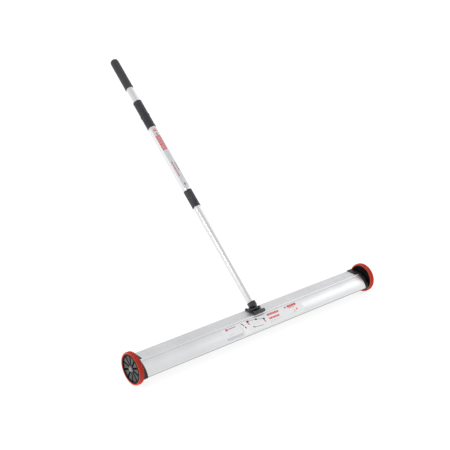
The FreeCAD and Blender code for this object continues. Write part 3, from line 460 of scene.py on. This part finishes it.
def softened(node, width, material, body):
    """A CAD node's own shape with its sharp edges rounded off."""
    bm = cad_mesh(node)
    edges = [edge for edge in bm.edges if edge.is_manifold and edge.calc_face_angle(0) > SHARP]
    bmesh.ops.bevel(bm, geom=edges, offset=width, segments=2, profile=0.5,
                    affect="EDGES", clamp_overlap=True)
    bmesh.ops.remove_doubles(bm, verts=bm.verts, dist=0.002 * MM)
    piece(f"eased_{node}", bm, material, body, [node])


# Sweeper head

def end_loops(node):
    """Outlines (Y, Z) of the flat face at a straight profile's right end, the outside first."""
    bm = bmesh.new()
    bm.from_mesh(frame["nodes"][node].data)
    bmesh.ops.remove_doubles(bm, verts=bm.verts, dist=0.001 * MM)
    end = max(vertex.co.x for vertex in bm.verts) - 0.01 * MM
    flat = {face for face in bm.faces if all(vertex.co.x > end for vertex in face.verts)}
    rim = [edge for edge in bm.edges if len(flat.intersection(edge.link_faces)) == 1]
    links = {}
    for edge in rim:
        for vertex, other in (edge.verts, reversed(edge.verts)):
            links.setdefault(vertex, []).append(other)
    loops = []
    while links:
        vertex = next(iter(links))
        loop = []
        while vertex in links:
            loop.append(Vector(vertex.co.yz))
            following = [other for other in links.pop(vertex) if other in links]
            vertex = following[0] if following else None
        loops.append(loop)
    bm.free()
    return sorted(loops, key=lambda loop: -abs(area(loop)))


def area(loop):
    """Signed area, positive when the outline runs counter-clockwise."""
    return sum(loop[index - 1].cross(loop[index]) for index in range(len(loop))) / 2


def true_arcs(loop, longest=12 * MM, step=0.8 * MM):
    """The same outline with the short facets of its round stretches turned back into arcs."""
    count = len(loop)
    chords = [loop[(index + 1) % count] - loop[index] for index in range(count)]
    tangents = []
    for index in range(count):
        before, after = chords[index - 1], chords[index]
        turn = abs(before.angle_signed(after))
        smooth = math.radians(0.5) < turn < math.radians(28)
        mean = before.normalized() * after.length + after.normalized() * before.length
        tangents.append(mean.normalized() if smooth else None)
    points = []
    for index, chord in enumerate(chords):
        points.append(loop[index])
        first, second = tangents[index], tangents[(index + 1) % count]
        if chord.length > longest or (first is None and second is None):
            continue
        mirror = chord.normalized()
        first = first or 2 * mirror.dot(second) * mirror - second
        second = second or 2 * mirror.dot(first) * mirror - first
        pieces = max(1, round(chord.length / step))
        for cut in range(1, pieces):
            points.append(hermite(loop[index], loop[(index + 1) % count], first, second, cut / pieces))
    return points


def hermite(start, end, leaving, arriving, share):
    """Point on the cubic between two points with unit directions at its ends."""
    reach = (end - start).length
    rest = 1 - share
    return (start * (1 + 2 * share) * rest ** 2 + end * share ** 2 * (3 - 2 * share)
            + reach * (leaving * share * rest ** 2 - arriving * share ** 2 * rest))


def prism(loops, low, high, edge):
    """Straight profile along X with holes, its end edges eased."""
    curve = bpy.data.curves.new("section", "CURVE")
    curve.dimensions = "2D"
    curve.fill_mode = "BOTH"
    curve.extrude = (high - low) / 2 - edge
    curve.bevel_depth = edge
    curve.bevel_resolution = 1
    curve.offset = -edge
    for index, loop in enumerate(loops):
        if (area(loop) > 0) != (index == 0):
            loop = loop[::-1]
        spline = curve.splines.new("POLY")
        spline.points.add(len(loop) - 1)
        spline.use_cyclic_u = True
        for point, (u, v) in zip(spline.points, loop):
            point.co = (u, v, 0, 1)
    holder = bpy.data.objects.new("section", curve)
    bpy.context.scene.collection.objects.link(holder)
    graph = bpy.context.evaluated_depsgraph_get()
    mesh = bpy.data.meshes.new_from_object(holder.evaluated_get(graph))
    bpy.data.objects.remove(holder)
    bpy.data.curves.remove(curve)
    bm = bmesh.new()
    bm.from_mesh(mesh)
    bpy.data.meshes.remove(mesh)
    bmesh.ops.remove_doubles(bm, verts=bm.verts, dist=0.003 * MM)
    middle = (low + high) / 2
    for vertex in bm.verts:
        u, v, w = vertex.co
        vertex.co = (w + middle, u, v)
    return bm


def housing():
    """The long profile, with its CAD section made smooth."""
    loops = [true_arcs(loop) for loop in end_loops("housing_extrusion")]
    bm = prism(loops, HOUSING_LOW.x, HOUSING_HIGH.x, 0.25 * MM)
    piece("profile", bm, profile_metal, "head", ["housing_extrusion"], sharp=20)


def tyre(name):
    """Tyre with ribbed sidewalls and four staggered rows of tread blocks."""
    matrix = AXLE[name]
    low, high, radius = reach(f"{name}_tyre", matrix)
    seat = reach(f"{name}_wheel_hub", matrix)[2] + SNUG
    blocks = 46
    parts_of_block = 8
    rows = 4
    groove = 1.3 * MM
    shoulder = 2.0 * MM
    width = high - low - 2 * shoulder

    def sidewall(edge, inward):
        """Outline from the seat out to the tread at one edge of the tyre."""
        return [
            (seat, edge + inward * 1.0 * MM, 0.5 * MM),
            (radius - 3.6 * MM, edge + inward * 0.1 * MM, 0.4 * MM),
            (radius - 2.6 * MM, edge + inward * 0.6 * MM, 0.3 * MM),
            (radius - 1.8 * MM, edge, 0.7 * MM),
            (radius - groove, edge + inward * 1.1 * MM),
        ]

    outline = rounded(sidewall(low, 1))
    stops = (0, 0.16, 0.3, 0.5, 0.7, 0.84)
    tread = [(row + stop) / rows for row in range(rows) for stop in stops]
    outline += [Vector((radius - groove, low + shoulder + share * width)) for share in tread]
    outline += rounded(sidewall(high, -1)[::-1])

    def blocky(here, height, turn):
        """Tread radius, higher on a block than in a groove; every other row is half a block on."""
        share = (height - low - shoulder) / width * rows
        if here < radius - groove - TINY or not -0.01 < share < rows:
            return here
        row = int(share + 0.001)
        across = share - row
        step = round(turn * blocks * parts_of_block) + (row % 2) * parts_of_block // 2
        raised = 0.2 < across < 0.8 and 1 <= step % parts_of_block <= 5
        return here + groove if raised else here

    bm = lathe(outline, blocks * parts_of_block, blocky)
    piece(f"{name}_tread_tyre", bm, tyre_rubber, f"{name}_wheel", [f"{name}_tyre"], matrix)


def hub(name):
    """Hub with a deep dished face, and ten wedge panels standing in it."""
    matrix = AXLE[name]
    low, high, radius = reach(f"{name}_wheel_hub", matrix)
    bush_radius = reach(f"{name}_wheel_bushing", matrix)[2]
    lip = 1 * MM
    recess = 3.2 * MM
    panel_height = 5 * MM
    web = 3.5 * MM
    rim = radius - 5 * MM
    boss = 12 * MM
    floor = high - recess - panel_height
    bore = bush_radius + SNUG
    outline = rounded([
        (bore, low + lip, 0.3 * MM),
        (boss, low + lip, 0.6 * MM),
        (boss, floor - web, 1.2 * MM),
        (rim, floor - web, 1.2 * MM),
        (rim, low, 0.5 * MM),
        (radius, low, 0.9 * MM),
        (radius, high, 0.9 * MM),
        (rim, high, 1.0 * MM),
        (rim, floor, 0.8 * MM),
        (boss, floor, 0.8 * MM),
        (boss, high - recess, 0.6 * MM),
        (bore, high - recess, 0.3 * MM),
    ])
    piece(f"{name}_hub_body", lathe(outline, 160), rim_plastic, f"{name}_wheel",
          [f"{name}_wheel_hub"], matrix)
    spokes = 10
    slot = 5.4 * MM
    phase = math.radians(-10)
    panels = []
    for spoke in range(spokes):
        bm = slab(wedge(boss + 0.1 * MM, rim - 0.1 * MM, math.pi / spokes, slot),
                  floor - 0.4 * MM, high - recess, 0.45 * MM)
        bm.transform(Matrix.Rotation(phase + 2 * math.pi * spoke / spokes, 4, "Z"))
        panels.append(bm)
    piece(f"{name}_hub_panels", joined(panels), panel_plastic, f"{name}_wheel",
          (), matrix)


def wedge(inner, outer, half, slot):
    """Outline between two straight slots, with its outer end on an arc."""
    inner_v = inner * math.sin(half) - slot / 2
    outer_v = outer * math.sin(half) - slot / 2
    arc = math.asin(outer_v / outer)
    steps = 6
    points = [Vector((inner * math.cos(half), -inner_v))]
    for step in range(steps + 1):
        angle = -arc + 2 * arc * step / steps
        points.append(Vector((outer * math.cos(angle), outer * math.sin(angle))))
    points.append(Vector((inner * math.cos(half), inner_v)))
    return points


def domed(name):
    """Domed axle bolt and the washer under its head."""
    matrix = AXLE[name]
    low, high, radius = reach(f"{name}_axle_bolt", matrix)
    washer_low, washer_high, washer_radius = reach(f"{name}_outer_washer", matrix)
    shank = 4 * MM
    brim = washer_high + 0.1 * MM
    outline = rounded([
        (0, low),
        (shank, low, 0.6 * MM),
        (shank, brim),
        (radius, brim, 0.2 * MM),
        (radius, brim + 1.1 * MM, 0.4 * MM),
        (radius * 0.78, high - 1.0 * MM, 2.5 * MM),
        (radius * 0.35, high, 1.5 * MM),
        (0, high),
    ])
    piece(f"{name}_domed_bolt", lathe(outline, 72), chrome, "head", [f"{name}_axle_bolt"], matrix)
    bore = shank + 0.2 * MM
    outline = rounded([
        (bore, washer_low, 0.1 * MM),
        (washer_radius, washer_low, 0.3 * MM),
        (washer_radius, washer_high, 0.3 * MM),
        (bore, washer_high, 0.1 * MM),
    ])
    piece(f"{name}_bright_washer", lathe(outline, 72), chrome, "head",
          [f"{name}_outer_washer"], matrix)


# Labels. Each is drawn flat, (u, v) with a thickness, and then laid on its surface.

def arc_centre(start, end, radius):
    """Centre of the arc from start to end, counter-clockwise."""
    chord = end - start
    left = Vector((-chord.y, chord.x)).normalized()
    return (start + end) / 2 + left * math.sqrt(radius ** 2 - (chord.length / 2) ** 2)


FACE_RADIUS = 57 * MM
FACE_TOP = Vector((-7.9 * MM, 66.6 * MM))
FACE_NOSE = Vector((HOUSING_LOW.y, 33.5 * MM))
FACE_CENTRE = arc_centre(FACE_TOP, FACE_NOSE, FACE_RADIUS)
NOSE_ANGLE = math.atan2(FACE_NOSE.y - FACE_CENTRE.y, FACE_NOSE.x - FACE_CENTRE.x)
TUBE_RADIUS = reach("middle_tube", HANDLE)[2]
FILM = 0.15 * MM
INK = 0.03 * MM
INK_SINK = 0.02 * MM


def on_face(u, v, lift):
    """Point of the head's front face: u along X, v up the curve from the nose."""
    angle = NOSE_ANGLE - v / FACE_RADIUS
    radius = FACE_RADIUS + lift
    return Vector((u, FACE_CENTRE.x + radius * math.cos(angle), FACE_CENTRE.y + radius * math.sin(angle)))


def on_tube(u, v, lift):
    """Point of the middle tube: u up the handle, v round it from +X."""
    angle = v / TUBE_RADIUS
    radius = TUBE_RADIUS + TUBE_FIT + lift
    return HANDLE @ Vector((radius * math.cos(angle), radius * math.sin(angle), u))


def wrapped(outlines, surface, low, high, step=2.5 * MM):
    """Thin closed shapes drawn flat and bent onto a surface; each outline is a list of (u, v)."""
    bm = joined([slab(outline, low, high) for outline in outlines])
    top = max(vertex.co.y for vertex in bm.verts)
    cut = min(vertex.co.y for vertex in bm.verts) + step
    while cut < top:
        everything = bm.verts[:] + bm.edges[:] + bm.faces[:]
        bmesh.ops.bisect_plane(bm, geom=everything, dist=0.0001 * MM,
                               plane_co=(0, cut, 0), plane_no=(0, 1, 0))
        cut += step
    for vertex in bm.verts:
        vertex.co = surface(*vertex.co)
    return bm


def in_mm(points):
    """Outline given in millimetres."""
    return [Vector((u * MM, v * MM)) for u, v in points]


def oblong(u, v, width, height, corner=0.6, lean=0.0):
    """Rounded bar from its lower left corner, leaning sideways by a share of its height."""
    shift = lean * height
    return rounded([(u * MM, v * MM, corner * MM), ((u + width) * MM, v * MM, corner * MM),
                    ((u + width + shift) * MM, (v + height) * MM, corner * MM),
                    ((u + shift) * MM, (v + height) * MM, corner * MM)])


def disc(u, v, radius, sides=28):
    """Round spot of print."""
    return [Vector(((u + radius * math.cos(2 * math.pi * side / sides)) * MM,
                    (v + radius * math.sin(2 * math.pi * side / sides)) * MM)) for side in range(sides)]


def bars(u, v, widths, height, gap=0.9, lean=0.12, drop=0.0):
    """Row of plain bars that stands in for a line of print; each next bar starts lower by the drop."""
    row = []
    for width in widths:
        row.append(oblong(u, v, width, height, min(0.8, 0.2 * height), lean))
        u += width + gap
        v -= drop
    return row


def stroke(start, end, width):
    """Straight line of print from one point to another."""
    start, end = Vector(start), Vector(end)
    side = (end - start).orthogonal().normalized() * width / 2
    return in_mm([start - side, end - side, end + side, start + side])


def face_label():
    """Film on the front face, with plain shapes where its print was."""
    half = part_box("housing_label")[1].x / MM
    bottom, top = 4.2, 46.2
    film = [oblong(-half, bottom, 2 * half, top - bottom, 2.5)]
    piece("label_sheet", wrapped(film, on_face, 0.01 * MM, FILM), label_film, "head",
          ["housing_label"])
    layers = {
        "white": (1, white_ink, [
            in_mm([(-93, top - 0.5), (-74, top - 0.5), (-69, 25), (-68, bottom + 0.5),
                   (-90, bottom + 0.5), (-88, 22)]),
        ]),
        "pale": (1, grey_ink, [
            oblong(-161, bottom + 1.5, 66, 9, 1.5),
            *bars(19, 14.5, [7, 5, 9, 6, 8, 6], 1.6, 1.2, 0.0),
            *bars(19, 10.5, [5, 8, 6, 7], 1.6, 1.2, 0.0),
            *bars(100, 12, [6, 8, 5, 7], 1.3, 1.1, 0.0),
            *bars(-147, 22, [6, 4, 7], 1.4, 1.0, 0.0),
            *bars(-147, 18.5, [4, 6], 1.4, 1.0, 0.0),
        ]),
        "pink": (2, pink_ink, [
            stroke((-96, 40), (-93, 24), 1.3),
            stroke((-93, 24), (-92, 7), 1.3),
            stroke((-47, 33), (-38, 24), 0.9),
            stroke((-33, 30), (-22, 26), 0.9),
            stroke((-20, 33), (-9, 27), 0.9),
        ]),
        "red": (2, red_ink, [
            disc(-146, 41, 4.4),
            *bars(18, 34.5, [6.5, 4.4, 5.2, 4.6, 5.0, 5.4, 3.0, 5.2], 7.6, 1.1, 0.1, 0.1),
            *bars(19, 21.5, [5.4, 5.6, 4.6, 5.0, 5.0, 5.2, 5.2], 6.2, 1.1, 0.1, 0.05),
            disc(96.5, 39.5, 3.6),
            *bars(105, 35.5, [9, 7.5, 8.5, 9.5], 8.2, 1.0, 0.16),
            *bars(108, 31.6, [6, 5, 7, 4], 2.0, 0.9, 0.16),
            oblong(-62, 29.5, 4, 14, 1.6, -0.35),
            oblong(0.5, 18.5, 3.6, 12, 1.6, -0.35),
            in_mm([(137, 17.5), (140.8, 21.5), (137, 25.5), (133.2, 21.5)]),
        ]),
        "dark": (3, dark_ink, [
            *bars(-139, 40, [5.5, 4.2, 6, 3.6, 5.4], 2.4, 0.8, 0.1),
            stroke((-87, 44), (-81, 32), 3.3),
            stroke((-80, 29), (-76.5, 22.5), 3.3),
            stroke((-60, 43.5), (-28, 39), 1.2),
            stroke((-28, 39), (0, 31.5), 1.2),
            oblong(-64, 38.6, 7.4, 6.6, 1.0),
            oblong(-31, 35.8, 6.2, 6.4, 1.0),
            oblong(-3.2, 28.0, 6.2, 6.2, 1.0),
            *bars(-46, 15.5, [7, 3, 8, 5, 6], 1.4, 1.4, 0.3, 0.6),
            stroke((-52, 19.5), (-44, 17), 2.4),
        ]),
        "yellow": (2, yellow_ink, [
            in_mm([(120.5, 15.5), (129.5, 15.5), (125, 23.5)]),
        ]),
    }
    print_layers("label", layers, on_face, "head")


def print_layers(prefix, layers, surface, body):
    """Inks on a film, each layer a little above the one before."""
    for name, (layer, ink, outlines) in layers.items():
        bm = wrapped(outlines, surface, FILM - INK_SINK, FILM + layer * INK)
        piece(f"{prefix}_{name}_print", bm, ink, body)


def handle_label():
    """Film round the front half of the middle tube, with plain shapes where its print was."""
    def turned_to(degrees):
        return TUBE_RADIUS / MM * math.radians(degrees)

    low, high, _ = reach("tube_label", HANDLE)
    left, right = turned_to(180), turned_to(350)
    film = [rounded([(low, left * MM, 2 * MM), (high, left * MM, 2 * MM),
                     (high, right * MM, 2 * MM), (low, right * MM, 2 * MM)])]
    piece("handle_label_sheet", wrapped(film, on_tube, 0.0, FILM, 1.5 * MM), tube_film, "handle",
          ["tube_label"])
    rows = [turned_to(degrees) for degrees in (218, 243, 268)]
    layers = {
        "red": (1, red_ink, [
            disc(709, turned_to(262), 5.8),
            *[bar for row in rows for bar in bars(626, row, [9, 7, 11, 8, 10, 9], 5.4, 1.2, 0.0)],
            *bars(516, turned_to(234), [12, 9, 14, 8, 11], 2.8, 1.4, 0.0),
        ]),
        "white": (2, white_ink, [
            disc(710.5, turned_to(264), 2.6),
            # Painted highlight: a band of white ink down the left edge of the film, where light catches the
            # tube.
            oblong(low / MM + 0.8, left + 0.6, (high - low) / MM - 1.6, turned_to(214) - left - 0.6, 1.0),
        ]),
        "dark": (1, dark_ink, [
            *bars(687, turned_to(250), [3, 4], 3.4, 1.4, 0.2),
            *bars(536, turned_to(276), [9, 7, 10, 6], 3.0, 1.0, 0.0),
            oblong(479, turned_to(246), 8, 3.6, 1.0),
        ]),
        "pink": (1, pink_ink, [
            oblong(480, turned_to(276), 6, 3.2, 0.8),
        ]),
    }
    print_layers("handle", layers, on_tube, "handle")


# Handle

def ribbed(ribs, depth, low, high, fade=2.5 * MM, share=0.5):
    """Shape for a lathe: lengthwise grooves between two heights, running out at their ends."""
    def shape(radius, height, turn):
        ends = min(1.0, max(0.0, (height - low) / fade), max(0.0, (high - height) / fade))
        wave = math.cos(2 * math.pi * ribs * turn)
        groove = min(1.0, max(0.0, (wave + 1 - share) / 1.2))
        return radius - depth * groove * math.sqrt(ends)
    return shape


def sampled(outline, step):
    """Outline with its long edges divided, so that a shape has points to move."""
    points = []
    for index, here in enumerate(outline):
        after = outline[(index + 1) % len(outline)]
        pieces = max(1, round((after - here).length / step))
        points += [here.lerp(after, cut / pieces) for cut in range(pieces)]
    return points


def only_outside(shape, limit):
    """The same shape, kept off everything nearer the axis than the limit."""
    return lambda radius, height, turn: shape(radius, height, turn) if radius > limit else radius


def tubes():
    """The three drawn tubes."""
    for node, body in (("lower_tube", "handle"), ("middle_tube", "handle"), ("upper_tube", "extension")):
        low, high, radius = reach(node, HANDLE)
        wall = 1.3 * MM
        outline = rounded([
            (radius - wall, low, 0.3 * MM),
            (radius, low, 0.4 * MM),
            (radius, high, 0.4 * MM),
            (radius - wall, high, 0.3 * MM),
        ])
        piece(f"drawn_{node}", lathe(outline, 96), tube_metal, body, [node], HANDLE)


def coupler():
    """Ribbed sleeve with a bore for each of the two tubes that meet in it."""
    low, high, radius = reach("tube_coupler", HANDLE)
    lower = reach("lower_tube", HANDLE)[2] + TUBE_FIT
    step = reach("middle_tube", HANDLE)[0] - 0.2 * MM
    outline = sampled(rounded([
        (lower, low, 0.3 * MM),
        (radius - 0.2 * MM, low, 0.9 * MM),
        (radius, low + 4 * MM, 2 * MM),
        (radius - 0.5 * MM, low + 7 * MM, 2 * MM),
        (radius - 0.5 * MM, high - 3 * MM, 2 * MM),
        (radius - 0.2 * MM, high, 1.2 * MM),
        (TUBE_RADIUS + TUBE_FIT, high, 0.3 * MM),
        (TUBE_RADIUS + TUBE_FIT, step),
        (lower, step),
    ]), 1.0 * MM)
    shape = only_outside(ribbed(18, 0.55 * MM, low + 8 * MM, high - 4 * MM), radius - 1.2 * MM)
    piece("ribbed_coupler", lathe(outline, 216, shape), lock_plastic, "handle",
          ["tube_coupler"], HANDLE)


def twist_lock():
    """Telescope lock: the fixed base with its nose, and the sleeve that turns over the nose."""
    low, _, flange = reach("twist_lock_base", HANDLE)
    seam, top, radius = reach("twist_lock_sleeve", HANDLE)
    upper = reach("upper_tube", HANDLE)[2]
    gap = 0.3 * MM
    seam -= gap
    seat = TUBE_RADIUS + TUBE_FIT
    nose = radius - 1.5 * MM
    bore = upper + 0.3 * MM
    nose_end = seam + 14.6 * MM
    middle_end = reach("middle_tube", HANDLE)[1] + 0.3 * MM
    foot = flange - 0.9 * MM
    waist = foot - 0.5 * MM
    outline = sampled(rounded([
        (seat, low, 0.3 * MM),
        (foot, low, 1.2 * MM),
        (foot, low + 7 * MM, 2 * MM),
        (waist, low + 12 * MM, 3 * MM),
        (waist, seam - 9 * MM, 2 * MM),
        (flange, seam - 6 * MM, 1 * MM),
        (flange, seam, 0.8 * MM),
        (nose, seam),
        (nose, nose_end, 0.4 * MM),
        (bore, nose_end, 0.3 * MM),
        (bore, middle_end),
        (seat, middle_end),
    ]), 1.0 * MM)
    shape = only_outside(ribbed(16, 0.8 * MM, low + 12 * MM, seam - 9 * MM), waist - 0.5 * MM)
    piece("lock_base", lathe(outline, 192, shape), lock_plastic, "handle",
          ["twist_lock_base"], HANDLE)
    cavity = radius - 1.2 * MM
    room = upper + 1.5 * MM
    outline = sampled(rounded([
        (cavity, seam + gap, 0.2 * MM),
        (radius, seam + gap, 0.9 * MM),
        (radius, seam + 6 * MM, 1.5 * MM),
        (radius - 0.3 * MM, seam + 8 * MM, 1.5 * MM),
        (radius - 0.3 * MM, top - 7 * MM, 1.5 * MM),
        (radius, top - 5 * MM, 1.5 * MM),
        (radius, top, 2.6 * MM),
        (bore, top, 0.4 * MM),
        (bore, top - 16 * MM),
        (room, top - 17 * MM),
        (room, nose_end + 1 * MM),
        (cavity, nose_end + 1 * MM),
    ]), 1.0 * MM)
    shape = only_outside(ribbed(16, 0.6 * MM, seam + 8 * MM, top - 7 * MM), radius - 0.6 * MM)
    piece("lock_sleeve", lathe(outline, 192, shape), lock_plastic, "lock_sleeve",
          ["twist_lock_sleeve"], HANDLE)


def grip():
    """Foam sleeve with a closed, domed end."""
    low, high, radius = reach("grip", HANDLE)
    tube = reach("upper_tube", HANDLE)
    bore = tube[2] + SNUG
    floor = tube[1] + 0.1 * MM
    waist = radius - 0.45 * MM
    top = high - 0.1 * MM
    outline = sampled(rounded([
        (0, floor),
        (bore, floor),
        (bore, low, 0.3 * MM),
        (radius, low, 0.9 * MM),
        (radius, low + 5 * MM, 2 * MM),
        (waist, low + 8 * MM, 3 * MM),
        (waist, high - 14 * MM, 9 * MM),
        (radius * 0.88, high - 5 * MM, 5 * MM),
        (radius * 0.5, top, 6 * MM),
        (0, top),
    ], 6), 2.0 * MM)
    piece("foam_grip", lathe(outline, 128), foam, "extension", ["grip"], HANDLE)


def socket():
    """Fluted cup on its hinge barrel."""
    high = reach("handle_socket", HANDLE)[1]
    bore = reach("lower_tube", HANDLE)[2] + TUBE_FIT
    radius = 14.4 * MM
    start = 10.5 * MM
    outline = sampled(rounded([
        (0, 2 * MM),
        (9 * MM, 4 * MM, 2 * MM),
        (radius, start, 1.5 * MM),
        (radius, high, 0.7 * MM),
        (bore, high, 0.2 * MM),
        (bore, start + 1 * MM),
        (0, start + 1 * MM),
    ]), 0.6 * MM)
    flutes = ribbed(8, 1.1 * MM, start + 0.5 * MM, high - 1.5 * MM, 1.2 * MM, 0.6)
    cup = lathe(outline, 192, only_outside(flutes, radius - 0.3 * MM))
    piece("socket_cup", cup, bracket_plastic, "handle", ["handle_socket"], HANDLE)
    half = 13.2 * MM
    pin = 2.56 * MM
    around = 5 * MM
    ring = lathe(rounded([
        (pin, -half, 0.3 * MM),
        (around, -half, 0.5 * MM),
        (around, half, 0.5 * MM),
        (pin, half, 0.3 * MM),
    ]), 96)
    ring.transform(Matrix.Rotation(math.pi / 2, 4, "Y"))
    piece("socket_barrel", ring, bracket_plastic, "handle", (), HANDLE)


# Pieces that keep the CAD shape

def plain_nodes():
    """Pieces whose CAD shape is right, with their edges eased."""
    for name, _ in SIDES:
        softened(f"{name}_end_cap", 0.35 * MM, black_plastic, "head")
        softened(f"{name}_cap_screws", 0.15 * MM, zinc, "head")
        softened(f"{name}_axle_nut", 0.3 * MM, zinc, "head")
        softened(f"{name}_inner_washer", 0.2 * MM, nylon, "head")
        softened(f"{name}_wheel_bushing", 0.15 * MM, nylon, f"{name}_wheel")
    softened("bracket_saddle", 0.6 * MM, bracket_plastic, "head")
    softened("bracket_clamp_bar", 0.5 * MM, bracket_plastic, "head")
    softened("bracket_screws", 0.15 * MM, zinc, "head")
    softened("pivot_bolt", 0.2 * MM, blackened, "head")
    softened("pivot_nut", 0.3 * MM, blackened, "head")
    softened("socket_screw", 0.15 * MM, blackened, "handle")
    softened("coupler_rivets", 0.15 * MM, blackened, "handle")
    softened("twist_lock_collet", 0.15 * MM, nylon, "handle")
    softened("guide_plug", 0.3 * MM, nylon, "extension")
    for node, material in (("magnets", magnet_stone), ("magnet_backing_plate", zinc)):
        frame["nodes"][node].data.materials.clear()
        frame["nodes"][node].data.materials.append(material)


# Stage

def studio():
    """Pale floor, a white tent whose brightness changes with direction, and four soft lamps."""
    bpy.ops.mesh.primitive_plane_add(size=60)
    floor = bpy.context.object
    floor.name = "studio_floor"
    floor.data.materials.append(studio_floor())
    world = bpy.data.worlds.new("studio")
    world.use_nodes = True
    tree = world.node_tree
    direction = add(tree, "TexCoord").outputs["Generated"]
    part = add(tree, "SeparateXYZ", Vector=direction)
    front = spread(tree, part.outputs["X"], 0.7, 1.04, 0.3, 0.72)
    back = spread(tree, part.outputs["Z"], 0.82, 0.76, 0.3, 0.9)
    level = add(tree, "Mix", Factor=spread(tree, part.outputs["Y"], 0, 1, -0.1, 0.5), A=front, B=back)
    tree.nodes["Background"].inputs["Color"].default_value = (1, 1, 1, 1)
    tree.links.new(level.outputs["Result"], tree.nodes["Background"].inputs["Strength"])
    bpy.context.scene.world = world
    soft_box("key_light", (2.9, -1.5, 2.2), 1.6, 4)
    soft_box("side_light", (3.2, -0.4, 1.6), 1.8, 6)
    soft_box("back_light", (-0.6, 3.4, 2.4), 2.4, 4)
    soft_box("rim_light", (-3.1, 0.1, 1.9), 0.4, 12)


def soft_box(name, place, size, power):
    """Square area light that faces the object."""
    lamp = bpy.data.lights.new(name, "AREA")
    lamp.size = size
    lamp.energy = power
    holder = bpy.data.objects.new(name, lamp)
    holder.location = place
    holder.rotation_euler = (Vector((0, 0, 0.1)) - Vector(place)).to_track_quat("-Z", "Y").to_euler()
    bpy.context.scene.collection.objects.link(holder)


def camera():
    """Long view from the front left, a little above the object."""
    view = bpy.data.cameras.new("camera")
    view.lens = 69.84
    view.sensor_width = 36
    view.clip_end = 100
    holder = bpy.data.objects.new("camera", view)
    holder.location = (-1.646, -1.847, 1.367)
    holder.rotation_euler = (math.radians(68.04), 0, math.radians(-39.2))
    bpy.context.scene.collection.objects.link(holder)
    bpy.context.scene.camera = holder


camera()
housing()
for name, _ in SIDES:
    tyre(name)
    hub(name)
    domed(name)
socket()
tubes()
coupler()
twist_lock()
grip()
face_label()
handle_label()
plain_nodes()
studio()
bpy.context.scene.view_settings.view_transform = "Standard"
